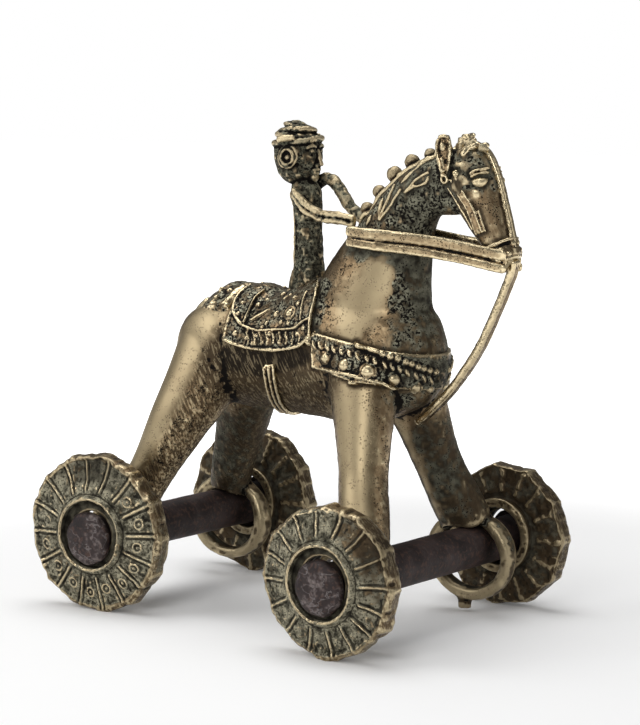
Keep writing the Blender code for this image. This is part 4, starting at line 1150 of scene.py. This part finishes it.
mane = skin_of("mane_beads", mane_shells + both(leaves), MANE_VOXEL)
roughen(mane.data, ((1.8, 0.1), (0.8, 0.08)), 37)
on_beads = smooth_step(3.4, 2.7, np.abs(points_of(mane.data)[:, 1]))
settle(
    mane, "horse", "patinated_brass", ["mane"], sooty_brass, MANE_VOXEL,
    0.1, 0.35 - on_beads * 0.35, 0, on_beads * 0.65,
)

# %% [markdown]
# The head's tack: a brow bar, a strap down the nose, wide ridged bands down the cheeks and a knot of wax
# round the muzzle, where reins and chest strap meet.

# %% Bridle pieces
STRAP_VOXEL = 0.3
STRAP_ROUGHNESS = ((1.4, 0.06), (0.7, 0.05))
brow = laid(
    horse_tree, [(461, 156.8), (468, 149), (475, 146.5), (482.4, 144.6), (489, 145.4), (494.5, 147.4)], 1.0,
    1.1
)
NOSE_LINE = (
    (68.6, 0, 152.4), (71.4, 0, 148.6), (74.2, 0, 144.4), (77.0, 0, 139.0), (79.2, 0, 133.6),
    (81.4, 0, 127.6),
    (83.2, 0, 121.6), (83.8, 0, 118.6),
)
nearest = [horse_tree.find_nearest(Vector(p))[:2] for p in NOSE_LINE]
nose_hits, nose_out = np.array([place for place, _ in nearest]), np.array([normal for _, normal in nearest])
nose_shells = [thread(nose_hits + nose_out * 0.2, nose_out, 1.35, 1.0, sides=20, block=0.75)] + both([brow])
nose_strap = cast_piece(
    "nose_strap_relief", ["nose_strap"], nose_shells, STRAP_VOXEL, STRAP_ROUGHNESS, 41, harness_brass, 0.05
)

cheek_shells = laid_all(horse_tree, (
    ([(453.4, 177.3), (461.8, 194.2), (470.2, 208.2), (480.5, 234.4)], 1.25, 0.6),
    ([(451, 178.6), (459.3, 195.4), (467.6, 209.4), (477.6, 235.4)], 0.36, 0.8),
    ([(456, 176.4), (464.6, 193.4), (473, 207.2), (483.4, 233.4)], 0.36, 0.8),
    ([(447.4, 186.7), (454, 197), (460.4, 208), (467, 219), (473.4, 230.7)], 0.34, 0.5),
    ([(475.8, 210), (478, 221), (481, 230)], 0.34, 0.5),
    ([(478.4, 209), (482, 221), (486, 232.5)], 0.34, 0.5),
))
cheek_shells += dotted(horse_tree, [(456, 173.6)], 1.25, 1.1)
place, normal = seen(horse_tree, [(445, 178.8)])
cheek_shells.append(ringlet(place[0], normal[0], 1.1, 0.42))
cheeks, reins = [], []
for side, there in (("right", cheek_shells), ("left", mirrored(cheek_shells))):
    cheeks.append(cast_piece(
        f"{side}_cheek_band", [f"{side}_cheek_strap"], there, STRAP_VOXEL, STRAP_ROUGHNESS, 43,
        harness_brass, 0.06
    ))


# %% Muzzle knot
def round_head(along_mm, angles):
    """Rays square to the head's middle line, at angles from the nose side."""
    rows = spline(HEAD, 1.0)
    steps = np.concatenate([[0], np.cumsum(np.linalg.norm(np.diff(rows[:, :3], axis=0), axis=1))])
    middle = np.array([np.interp(along_mm, steps, rows[:, k]) for k in range(3)])
    ahead = np.array([np.interp(along_mm + 1, steps, rows[:, k]) for k in range(3)]) - middle
    depth = unit(np.cross(unit(ahead), (0.0, 1.0, 0.0)))
    out = np.cos(angles)[:, None] * depth + np.sin(angles)[:, None] * np.array((0.0, 1.0, 0.0))
    return np.tile(middle, (len(angles), 1)), out


turn = np.radians(np.arange(0, 360, 15))
knot_shells = []
for place_along, width in ((31.8, 0.7), (34.6, 2.3), (37.2, 0.75)):
    centre, outwards = round_head(place_along, turn)
    ring_hits = rays_onto(horse_tree, centre, outwards)
    knot_shells.append(thread(ring_hits + outwards * 0.15, outwards, width, 1.15, closed=True, sides=14))
for n in range(16):
    centre, outwards = round_head(33.2 + (n * 7 % 5) * 0.8, np.radians([n * 22.5 + 9]))
    place = rays_onto(horse_tree, centre, outwards)[0] + outwards[0] * 0.9
    knot_shells.append(bead(place, outwards[0], 0.95, 0.9))
knot_roughness = ((1.5, 0.12), (0.8, 0.1))
muzzle = cast_piece(
    "muzzle_knot", ["noseband"], knot_shells, STRAP_VOXEL, knot_roughness, 47, harness_brass, 0.4, 0, 0, 0.3
)

# %% [markdown]
# A rein is a flat bar with a deep groove along it. The chest strap is a bundle of three threads that hangs
# from the muzzle knot to the chest.

# %% Reins
REIN_FROM, REIN_TO, REIN_VOXEL = (27.0, 123.6), (83.4, 117.8), 0.33
for side, sign in (("right", -1), ("left", 1)):
    share = np.linspace(0, 1, 24)
    x = REIN_FROM[0] + (REIN_TO[0] - REIN_FROM[0]) * share
    z = REIN_FROM[1] + (REIN_TO[1] - REIN_FROM[1]) * share + 0.9 * np.sin(share * math.pi)
    tall = 2.9 + 0.6 * share
    levels = [rays_onto(horse_tree, np.stack([x, 0 * x, z + k * tall], -1), (0, sign, 0)) for k in (-1, 0, 1)]
    need = np.abs(np.stack(levels)[..., 1]).max(0) + 1.2
    out = np.maximum(need[0] + (need[-1] + 1.4 - need[0]) * share, need)
    out = np.convolve(np.pad(out, 2, mode="edge"), np.ones(5) / 5, "valid")
    line = np.stack([x, sign * out, z], axis=-1)
    away = np.array((0.0, sign, 0.0))
    rein_shells = [
        thread(line + np.stack([0 * x, 0 * x, 0.5 * tall + 0.25], -1), away, 1.7, 0.85, sides=28, block=0.4),
        thread(line - np.stack([0 * x, 0 * x, 0.62 * tall], -1), away, 1.4, 0.75, sides=28, block=0.4),
        thread(line - away * 0.45, away, 2.3, 0.5, sides=12),
    ]
    rein = skin_of(f"{side}_rein_bar", rein_shells, REIN_VOXEL)
    reins.append(rein)
    roughen(rein.data, ((4.0, 0.1), (1.2, 0.05)), 51)
    shine = smooth_step(0.1, 0.8, np.abs(normals_of(rein.data)[:, 1])) * 0.35
    settle(rein, "horse", "polished_brass", [f"{side}_rein"], harness_brass, REIN_VOXEL, 0.0, shine)

# %% Chest strap and tail
MARTINGALE = (
    (83.4, 118.6), (82.8, 114.6), (80.6, 109.6), (77.8, 103.4), (74.4, 96.6), (70.2, 89), (65, 82),
    (59.4, 75.6),
    (53.5, 70.1), (48, 65.6),
)
strap_path = spline([(x, 0.0, z) for x, z in MARTINGALE], 2.0)
ahead = unit(np.gradient(strap_path, axis=0))
strap_out = unit(np.cross(ahead, (0.0, 1.0, 0.0)))
strap_out = strap_out * np.sign(strap_out[:, 0:1])
strap_shells = [
    thread(strap_path + (0, off, 0), strap_out, 0.85, 1.35, sides=14) for off in (-1.05, 0.0, 1.05)
]
strap_shells.append(thread(strap_path, strap_out, 1.6, 1.0))
strap_roughness = ((3.0, 0.1), (1.1, 0.07))
strap = cast_piece(
    "chest_strap", ["martingale"], strap_shells, 0.32, strap_roughness, 55, harness_brass, 0.1, 0, 0, 0.3
)

tail_z = np.linspace(99, 69, 30)
tail_hits = rays_onto(horse_tree, np.stack([0 * tail_z - 35, 0 * tail_z, tail_z], -1), (-1.0, 0, 0))
tail_path = np.stack([np.minimum.accumulate(tail_hits[:, 0]) - 2.2, 0 * tail_z, tail_z], -1)
tail_shells = []
for n, (off, width) in enumerate(((-1.5, 0.8), (-0.5, 0.95), (0.5, 0.95), (1.5, 0.8))):
    sway = np.stack([0 * tail_z - 0.25 * (n % 2), off + 0.25 * np.sin(tail_z / 4 + n), 0 * tail_z], -1)
    tail_shells.append(thread(tail_path + sway, (-1.0, 0, 0), width, 1.8))
cast_piece("tail_strands", ["tail"], tail_shells, 0.36, ((2.0, 0.1), (0.9, 0.08)), 57, casting_brass, 0.3)

# %% [markdown]
# Painted shade falls in the corner where a strap meets the skin, and polish never reaches it. So every point
# of the horse's skin is darkened by its distance to the nearest strap.

# %% Painted shade beside the straps
tack = (saddle, girth, collar, nose_strap, muzzle, strap, head_wax, mane, *cheeks, *reins)
tack_tree = tree_over([shell_like(piece) for piece in tack])
points = points_of(horse.data)
gaps = np.array([tack_tree.find_nearest(Vector(point), 3.0)[3] or 3.0 for point in points])
# Painted shade in the corner along each strap, with no polish there.
beside = smooth_step(1.7, 0.5, gaps)
keep(horse.data, "soot_and_shade", np.maximum(soot_and_shade, beside * 0.9))
keep(horse.data, "polish_and_highlight", polish_and_highlight * (1 - beside))
print("skin points beside a strap:", int((beside > 0.5).sum()))

# %% [markdown]
# The rider is a slim wax figure: a post for a body, bent rods for arms, and a head with a wound turban. The
# face is a plain one of the maker's own: eyes about halfway down, the nose's foot not quite halfway from
# there to the chin, the mouth close below it.

# %% Rider
TRUNK = (
    (5, 0, 101, 5.4, 7), (5, 0, 108, 5.2, 6.4), (5.2, 0, 114, 4.5, 4.8), (5.4, 0, 122, 4.2, 4.1),
    (5, 0, 130, 4.7, 4.4), (4, 0, 135.6, 5.8, 4.7), (3, 0, 139.4, 3.6, 3.8), (2, 0, 143, 3.2, 3.6),
)
SKULL = (
    (1.4, 0, 138.8, 2.6, 3.2), (1.2, 0, 141.2, 5.4, 6.4), (0.9, 0, 146.5, 7.0, 8.2),
    (0.7, 0, 151.5, 6.8, 7.6),
    (0.2, 0, 155.2, 4.8, 5.2), (-0.2, 0, 158.0, 1.8, 2.2),
)
RIGHT_ARM = ((3, -4.6, 136.6), (8, -5.8, 132), (14.2, -5.6, 129.2), (21, -4.6, 128.6), (26.5, -3.4, 127.6))
LEFT_ARM = ((4, 4.6, 137.6), (8.4, 4.8, 140.2), (12, 4.6, 139), (15.4, 4.4, 135.6), (19, 4, 131.4),
            (26, 3.2, 127.4))
RIDER_VOXEL = 0.33
TO_RIGHT, TO_LEFT, TO_FRONT = (0.0, -1.0, 0.0), (0.0, 1.0, 0.0), (1.0, 0, 0)
rider_shells = [loft(TRUNK, 1.0, 32), loft(SKULL, 0.8, 40)]
arm_path = spline(RIGHT_ARM, 2.0)
for lift in (-1.0, 1.0):
    rider_shells.append(thread(arm_path + (0, -0.2, lift), TO_RIGHT, 1.05, 1.5, sides=14))
rider_shells.append(thread(arm_path, TO_RIGHT, 1.6, 1.3))
rider_shells.append(thread(spline(LEFT_ARM, 2.0), TO_LEFT, 2.0, 2.0, sides=16))
rider_shells.append(thread(np.linspace((2.0, -2.9, 133), (1.8, -2.7, 108), 12), TO_RIGHT, 0.7, 0.6))

FACE_X, EYE_Z, NOSE_Z, MOUTH_Z = 8.6, 148.2, 144.6, 143.2


def drawn(height, offsets, normal, half_width, half_height):
    """A thread on the face, through offsets from the middle of the face at a height."""
    return thread(np.array(offsets) + (FACE_X, 0, height), normal, half_width, half_height)


half_face = [
    bead((FACE_X - 0.9, -2.5, EYE_Z), (1, -0.35, 0), 1.15, 0.8),
    drawn(EYE_Z, [(-1.4, -4.2, 0.3), (-0.4, -2.5, 1.2), (0, -0.9, 0.4)], (1.0, -0.3, 0), 0.35, 0.45),
    drawn(EYE_Z, [(-1.3, -4.1, -0.3), (-0.3, -2.5, -1.0), (0, -0.9, -0.2)], (1.0, -0.3, 0), 0.3, 0.4),
    drawn(EYE_Z, [(-1.2, -4.4, 1.9), (-0.2, -2.4, 2.7), (0.2, -0.7, 2.1)], (1.0, -0.3, 0), 0.45, 0.5),
    bead((FACE_X + 0.5, -0.8, NOSE_Z + 0.1), (1, -0.3, 0), 0.6, 0.6),
    ringlet((1.8, -7.2, 147.4), (0.1, -1, 0), 2.2, 0.5, 1.1),
    bead((2.0, -7.2, 147.2), (0.1, -1, 0), 0.9, 0.8),
    ringlet((1.8, -6.8, 147.4), (0.1, -1, 0), 3.3, 0.42, 1.1),
]
nose = [
    (FACE_X, 0, EYE_Z + 1.6), (FACE_X + 0.7, 0, EYE_Z - 1.0), (FACE_X + 1.5, 0, NOSE_Z + 0.5),
    (FACE_X + 0.9, 0, NOSE_Z - 0.2),
]
lips = [(-0.5, -2.1, 0), (0.2, -0.8, 0.25), (0.3, 0, 0.1), (0.2, 0.8, 0.25), (-0.5, 2.1, 0)]
face = both(half_face) + [
    thread(nose, TO_FRONT, 0.8, 0.9),
    drawn(MOUTH_Z, lips, TO_FRONT, 0.4, 0.45),
    drawn(MOUTH_Z, [(-0.6, -1.6, -0.8), (0.1, 0, -1.0), (-0.6, 1.6, -0.8)], TO_FRONT, 0.42, 0.45),
    bead((FACE_X - 1.3, 0, MOUTH_Z - 2.3), (1, 0, -0.2), 1.7, 1.3),
]


def turban_wrap(height, lean, swell, wire, seed):
    """A slanted turn of cloth: an oval about the skull that rises by the lean towards the front."""
    t = np.linspace(0, 2 * math.pi, 40, endpoint=False)
    fit = np.interp(height, [146.5, 151.5, 155.2, 158.0], [1.0, 0.96, 0.66, 0.26])
    x = 0.7 + (8.2 * fit + swell) * np.cos(t)
    y = (7.2 * fit + swell) * np.sin(t)
    z = height + lean * np.cos(t) + 0.5 * np.sin(t + seed)
    path = np.stack([x, y, z], -1)
    return thread(path, unit(np.stack([np.cos(t), np.sin(t), 0 * t], -1)), wire, 1.2, closed=True, sides=12)


wraps = [
    turban_wrap(152.2, 0.4, 0.1, 1.0, 1), turban_wrap(153.9, -0.9, 0.1, 0.95, 2),
    turban_wrap(155.4, 0.5, 0.2, 0.95, 3), turban_wrap(156.8, -0.4, 0.2, 0.85, 4),
    bead((-0.4, 0, 157.6), (0, 0, 1), 2.6, 1.2),
]
bar = thread([(-2.0, -7.6, 152.6), (1.0, -8.0, 153.4), (4.6, -6.6, 153.6)], (0.2, -1.0, 0.1), 1.05, 0.8)
rider = skin_of("rider_figure", rider_shells + face + wraps + both([bar]), RIDER_VOXEL)
roughen(rider.data, ((2.4, 0.22), (1.1, 0.16), (0.7, 0.08)), 61)
x, y, z = points_of(rider.data).T
in_profile = np.stack([x, z], axis=1)
arm_shine = near_line(in_profile, np.array(RIGHT_ARM)[:, [0, 2]], 2.6) * smooth_step(-1.0, -3.0, y) * 0.5
bar_shine = near_line(in_profile, [(-2.0, 152.8), (4.6, 153.7)], 1.0) * smooth_step(5.5, 7.0, np.abs(y))
edge_shine = near_line(in_profile, [(1.0, 133), (1.0, 108)], 1.2) * 0.6
shine = np.maximum.reduce([arm_shine, bar_shine, edge_shine])
settle(rider, "horse", "polished_brass", ["rider"], sooty_brass, RIDER_VOXEL, 0.5, shine * 0.8, 0,
       (1 - shine) * 0.4)

# %% [markdown]
# A wheel is turned about its axle: a profile carried round in a circle. Its outer face is then a height over
# radius and angle: ribs like spokes with a groove on each side, small rings stamped between them, and a rim
# hammered out of round. Where the hammered rim would reach below the floor it is cut flat.

# %% Wheels
RIBS = 16
FRONT_RADIUS, REAR_RADIUS, FRONT_OUT, REAR_OUT = 23.6, 25.4, 47.6, 40.3


def wheel_section(radius, bore):
    """The closed outline of the rim's section as (radius, y), with more points where the face is carved."""
    half, pocket = 4.5, 9.3
    face = half - 1.2
    corners = (
        (bore, half - 0.8, 12), (10.9, half - 0.8, 8), (11.2, half + 1.5, 6), (11.8, half + 1.8, 6),
        (12.5, half + 1.2, 8), (13.1, face + 1.3, 52), (radius - 2.6, face - 0.4, 8), (radius - 1.3, face, 8),
        (radius - 0.3, half - 2.0, 6), (radius, half - 3.0, 14), (radius, 2.2 - half, 5),
        (radius - 0.4, 1.2 - half, 8), (radius - 1.8, -face, 26), (12.6, -face, 7), (12.2, -half - 1.2, 8),
        (pocket + 0.4, -half - 1.5, 3), (pocket, -half - 1.2, 9), (pocket, 0.0, 5), (bore, 0.2, 8),
    )
    line = []
    for (r, y, count), (r_next, y_next, _) in zip(corners, corners[1:] + corners[:1]):
        share = np.arange(count)[:, None] / count
        line.append((1 - share) * (r, y) + share * (r_next, y_next))
    line = np.vstack(line)
    return (np.roll(line, 1, 0) + 2 * line + np.roll(line, -1, 0)) / 4


def between(values, angle):
    """Values at equal steps round the wheel: the one before each angle, the one after, and the share."""
    place = (angle / (2 * math.pi) * len(values)) % len(values)
    first = np.floor(place).astype(int) % len(values)
    values = np.array(values)
    return values[first], values[(first + 1) % len(values)], place % 1


def round_trip(values, angle):
    """The values joined by a curve: a cosine blend between neighbours."""
    before, after, share = between(values, angle)
    share = (1 - np.cos(share * math.pi)) / 2
    return before * (1 - share) + after * share


def hammered(radii, angle):
    """A rim beaten into flats: straight edges between corners, whose radii stand at equal steps."""
    a, b, share = between(radii, angle)
    step = 2 * math.pi / len(radii)
    share = share * 2 * math.pi / len(radii)
    return a * b * math.sin(step) / (a * np.sin(share) + b * np.sin(step - share))


def wheel_points(radius, look, seed):
    """The section carried round a circle. Its outer face is lifted by ribs, grooves, stamps and dents."""
    section = wheel_section(radius, look["bore"])
    r, t = np.meshgrid(section[:, 0], np.linspace(0, 2 * math.pi, 440, endpoint=False), indexing="ij")
    y = np.broadcast_to(section[:, 1:2], r.shape).copy()
    spoke = (t / (2 * math.pi) - 1 / 64) * RIBS + 0.12 * np.sin(t * 2 + seed)
    beat = spoke - np.round(spoke)
    carved = smooth_step(13.6, 15.0, r) * smooth_step(radius - 0.6, radius - 1.8, r)
    strength = round_trip(look["ribs"], t)
    wide = 0.055 * 18 / np.maximum(r, 9)
    rib = 0.8 * np.exp(-((beat / wide) ** 2)) * strength
    groove = np.exp(-(((beat - 2.1 * wide) / wide) ** 2)) + np.exp(-(((beat + 2.1 * wide) / wide) ** 2))
    cell = np.floor(spoke)
    across = (cell + 0.5 - spoke) / RIBS * 2 * math.pi * r
    gap = np.hypot(across, r - 18.8 - 0.6 * np.sin(cell * 2.3 + seed))
    stamp = 0.42 * np.exp(-(((gap - 1.5) / 0.36) ** 2)) + 0.4 * np.exp(-((gap / 0.5) ** 2))
    sunk = round_trip(look["sunk"], t) * smooth_step(14.5, 18.0, r)
    lift = rib - groove * look["groove"] + stamp * round_trip(look["stamps"], t) - sunk
    inner_rib = np.abs(np.cos(t * RIBS / 2 + 0.3 * np.sin(t * 3 + seed))) ** 8
    y = y + carved * np.where(y > 0, lift, -0.7 * inner_rib)
    r = r * (1 + (hammered(look["rim"], t) - 1) * smooth_step(14.0, radius, r))
    flat = np.stack([r * np.cos(t), y, r * np.sin(t)], axis=-1).reshape(-1, 3)
    out = np.hypot(flat[:, 0], flat[:, 2])
    layers = ((5.0, 0.28), (2.0, 0.2), (0.9, 0.15))
    lump = sum(noise(flat, size, seed + n) * height for n, (size, height) in enumerate(layers))
    flat[:, 1] += lump * np.sign(flat[:, 1]) * smooth_step(8.4, 10.5, out)
    dents = noise(flat * (1, 0.4, 1), 1.8, seed + 7) * 0.4 * smooth_step(radius - 2.5, radius - 0.5, out)
    return (flat * (1 + (dents / radius)[:, None] * (1, 0, 1))).reshape(*t.shape, 3)


WHEELS = {
    "wheel_front_right": dict(
        ribs=(1, 1, 1, 0.45, 0.5, 0.4, 0.25, 0.2, 0.35, 0.3, 0.4, 0.8, 1, 1), groove=0.22, stamps=(0.25,),
        bore=8.3,
        sunk=(0.7, 1.4, 0.9, 0, 0, 0, 0, 0, 0, 0, 0, 0.3), turned=0.0, lift=0.0,
        rim=(1.04, 1.05, 1.035, 1.0, 1.0, 1.03, 1.03, 1.01, 0.985, 1.05, 0.985, 1.03),
    ),
    "wheel_rear_right": dict(
        ribs=(0.5, 0.6, 0.35, 0.3, 0.5, 0.35), groove=0.4,
        stamps=(1, 0.7, 0.1, 0.1, 0.2, 0.4, 0.6, 0.9, 1, 1),
        sunk=(0, 0, 0.6, 1.2, 0.5, 0, 0, 0, 0, 0, 0, 0), turned=5.5, lift=0.2, bore=7.5,
        rim=(1.04, 1.03, 1.015, 1.04, 1.03, 1.04, 1.045, 1.02, 1.03, 1.02, 1.04, 1.03, 1.02),
    ),
    "wheel_front_left": dict(
        ribs=(0.7,), groove=0.3, stamps=(0.4,), sunk=(0.0,), turned=0.0, lift=0.0, bore=8.3,
        rim=(1.02, 1.0, 1.02, 1.0, 0.97, 1.02, 1.02, 1.0, 1.01, 1.0, 1.02),
    ),
    "wheel_rear_left": dict(
        ribs=(0.7,), groove=0.3, stamps=(0.5,), sunk=(0.0,), turned=0.0, lift=0.0, bore=8.3,
        rim=(1.02, 1.0, 1.02, 1.0, 1.02, 1.01, 1.02, 1.0, 1.0, 1.02, 1.01, 1.02),
    ),
}
FLOOR = 0.0
WHEEL_SPACING = 0.33
TREAD_FROM, TREAD_FULL, RIM_EDGE, HUB_EDGE = 0.93, 0.985, 0.955, 11.6
for n, (name, look) in enumerate(WHEELS.items()):
    front, side = "front" in name, 1 if name.endswith("left") else -1
    radius = FRONT_RADIUS if front else REAR_RADIUS
    centre = middle(*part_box(name)) + (0, 0, look["lift"]) - SHIFT
    centre[1] = side * (FRONT_OUT if front else REAR_OUT)
    grid = wheel_points(radius, look, n + 1) * (1, side, 1)
    yaw = math.radians(look["turned"])
    grid = grid @ np.array([[math.cos(yaw), math.sin(yaw), 0], [-math.sin(yaw), math.cos(yaw), 0], [0, 0, 1]])
    grid = grid + centre
    grid[..., 2] = np.maximum(grid[..., 2], FLOOR)
    wheel = linked(bpy.data.objects.new(f"{name}_cast", mesh_of(name, *shell(grid, closed=True))))
    around = points_of(wheel.data) - centre
    out = np.hypot(around[:, 0], around[:, 2]) / radius
    sunk = round_trip(look["sunk"], np.arctan2(around[:, 2], around[:, 0]) % (2 * math.pi))
    sunk = sunk * smooth_step(0.58, 0.72, out)
    tread = smooth_step(TREAD_FROM, TREAD_FULL, out)
    # Painted shade: the far wheels are darkened as a whole, with less patina and fainter bright lines, and
    # the bore round the axle is painted dark. The tread and sunk panels are darker too.
    far_wheel_shade = 0.0 if side < 0 else 0.9
    bore = smooth_step(11.2, 10.4, out * radius) * 0.95
    soot = np.maximum.reduce([tread * 0.5, np.full(len(out), far_wheel_shade), sunk * 0.75, bore])
    green = 0.1 - tread * 0.5 - far_wheel_shade * 0.5 - sunk * 0.45 * front
    # The hub ring's outer edge and the rim's edge get bright lines: wear with a painted highlight on it.
    hub = np.exp(-(((out * radius - HUB_EDGE) / 0.45) ** 2)) * (around[:, 1] * side > 5.2)
    rim = np.exp(-(((out - RIM_EDGE) / 0.018) ** 2)) * (around[:, 1] * side > 0)
    bright = (hub + rim * 0.8) * smooth_step(-0.5, 0.3, noise(around, 4.0, n)) * (1 - 0.4 * far_wheel_shade)
    settle(wheel, name, "patinated_brass", [name], wheel_brass, WHEEL_SPACING, green, bright, tread * 0.6,
           soot)

# %% [markdown]
# The iron axles are round bars with both ends hammered out over the wheels. The ends are flat facets with
# rounded corners, scratched and dented.


# %% Axles
AXLE_RADIUS, HEAD_RADIUS, HEAD_FLATS, AXLE_SPACING = 6.9, 8.8, 7, 0.45


def axle_points(wheel_out, seed):
    """Turns the bar's profile about Y. The heads' radius is cut by flats and their ends are tilted."""
    shoulder, end = wheel_out + 3.9 + 0.3, wheel_out + 8.1
    half = [
        (0.02, end), (4.5, end - 0.15), (6.6, end - 0.5), (8.1, end - 1.3), (HEAD_RADIUS, end - 2.4),
        (HEAD_RADIUS, shoulder), (7.0, shoulder),
    ]
    bar = [(AXLE_RADIUS, shoulder - 1.0), (AXLE_RADIUS, 1.0 - shoulder)]
    fine = along(np.array(half + bar + [(r, -y) for r, y in reversed(half)]), np.linspace(0, 1, 240))
    angle = np.linspace(0, 2 * math.pi, 96, endpoint=False)
    r, t = np.meshgrid(fine[:, 0], angle, indexing="ij")
    y = np.broadcast_to(fine[:, 1:2], r.shape).copy()
    head = smooth_step(shoulder - 0.2, shoulder + 0.4, np.abs(y))
    flats = ((t * HEAD_FLATS / (2 * math.pi) + seed * 0.37) % 1 - 0.5) * 2 * math.pi / HEAD_FLATS
    flats = 1 / np.cos(flats)
    shape = np.minimum(flats * 0.965, 1.0)
    r = r * (1 + head * (shape - 1))
    top = smooth_step(end - 1.0, end - 0.2, np.abs(y))
    tilt = (np.cos(t + seed) * 0.05 + 0.09 * np.maximum(np.cos(t - 0.3), 0.0)) * r
    y = y - np.sign(y) * top * np.abs(tilt)
    grid = np.stack([r * np.cos(t), y, r * np.sin(t)], axis=-1)
    flat = grid.reshape(-1, 3)
    out = unit(flat * (1, 0, 1))
    flat = flat + out * (noise(flat * (1, 0.4, 1), 3.0, seed) * 0.1 - 0.1)[:, None]
    return flat.reshape(grid.shape)


for n, (end, wheel_out) in enumerate((("front", FRONT_OUT), ("rear", REAR_OUT))):
    centre = middle(*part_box(f"{end}_axle")) - SHIFT
    grid = axle_points(wheel_out, n + 1) + centre
    bar = linked(bpy.data.objects.new(f"{end}_axle_bar", mesh_of(f"{end}_axle_bar", *shell(grid))))
    on_heads = smooth_step(wheel_out + 3.0, wheel_out + 5.0, np.abs(points_of(bar.data)[:, 1]))
    settle(bar, f"{end}_axle", "forged_iron", [f"{end}_axle"], axle_iron, AXLE_SPACING, on_heads)

# %% [markdown]
# A plain studio: a pale floor that keeps the toy's soft shadow, a big soft lamp overhead, one high on the
# left and two weaker ones. The camera sees a white surrounding, and the floor glows white for the camera and
# for mirror rays, while the light that falls on the brass stays plain.


# %% Floor, lamps and surroundings
def studio_floor():
    """Diffuse white, with a glow that only camera, mirror and transmission rays see."""
    finish = Finish("studio_floor")
    camera_ray, mirror_ray, through_ray = [
        finish.node("LightPath", out=f"Is {kind} Ray") for kind in ("Camera", "Glossy", "Transmission")
    ]
    seen_share = camera_ray.either(mirror_ray).either(through_ray)
    place = finish.node("TexCoord", out="Object")
    away = finish.node("VectorMath", {"operation": "LENGTH"}, {0: place}, out="Value").step(0.16, 0.42)
    sockets = {"Color": (1, 1, 1, 1), "Strength": seen_share * (away * 0.92 + 0.08)}
    glow = finish.node("Emission", None, sockets, out="Emission")
    both_shaders = finish.node("AddShader", None, {0: Value(finish, finish.surface.outputs[0]), 1: glow})
    finish.feed(finish.tree.nodes["Material Output"].inputs["Surface"], both_shaders)
    return finish.finished(Base_Color=(0.88, 0.88, 0.88, 1), Roughness=0.9, Specular_IOR_Level=0.0)


bpy.ops.mesh.primitive_plane_add(size=6.0, location=(0.0, 0.0, 0.0))
floor = bpy.context.object
floor.name = "studio_floor"
floor.data.materials.append(studio_floor())

world = bpy.data.worlds.new("studio")
bpy.context.scene.world = world
world.use_nodes = True
tree = world.node_tree
background = tree.nodes["Background"]
path = tree.nodes.new("ShaderNodeLightPath")
straight = tree.nodes.new("ShaderNodeMath")
straight.operation = "MAXIMUM"
tree.links.new(path.outputs["Is Camera Ray"], straight.inputs[0])
tree.links.new(path.outputs["Is Transmission Ray"], straight.inputs[1])
level = tree.nodes.new("ShaderNodeMapRange")
level.inputs["To Min"].default_value = 0.2
level.inputs["To Max"].default_value = 1.0
tree.links.new(straight.outputs[0], level.inputs["Value"])
tree.links.new(level.outputs[0], background.inputs["Strength"])
background.inputs["Color"].default_value = (1, 1, 1, 1)


def lamp(name, place, size, watts):
    """A soft square lamp that looks at the toy. Its place is metres to the camera's right, up and back."""
    right, up, back = place
    obj = linked(bpy.data.objects.new(name, bpy.data.lights.new(name, "AREA")))
    obj.data.size = size
    obj.data.energy = watts
    obj.location = Vector((AIM + SHIFT) * MM + RIGHT * right + UP * up + BACK * back)
    toward = Vector((0.005, 0.0, 0.07)) - obj.location
    obj.rotation_euler = toward.to_track_quat("-Z", "Y").to_euler()


lamp("overhead", (-0.05, 1.0, -0.05), 0.8, 7.0)
lamp("key", (-0.9, 0.6, 0.15), 0.75, 4.2)
lamp("front", (-0.35, 0.35, 0.95), 0.45, 2.4)
lamp("fill", (0.8, 0.3, 0.3), 0.6, 0.8)
print("lamps and floor ready")
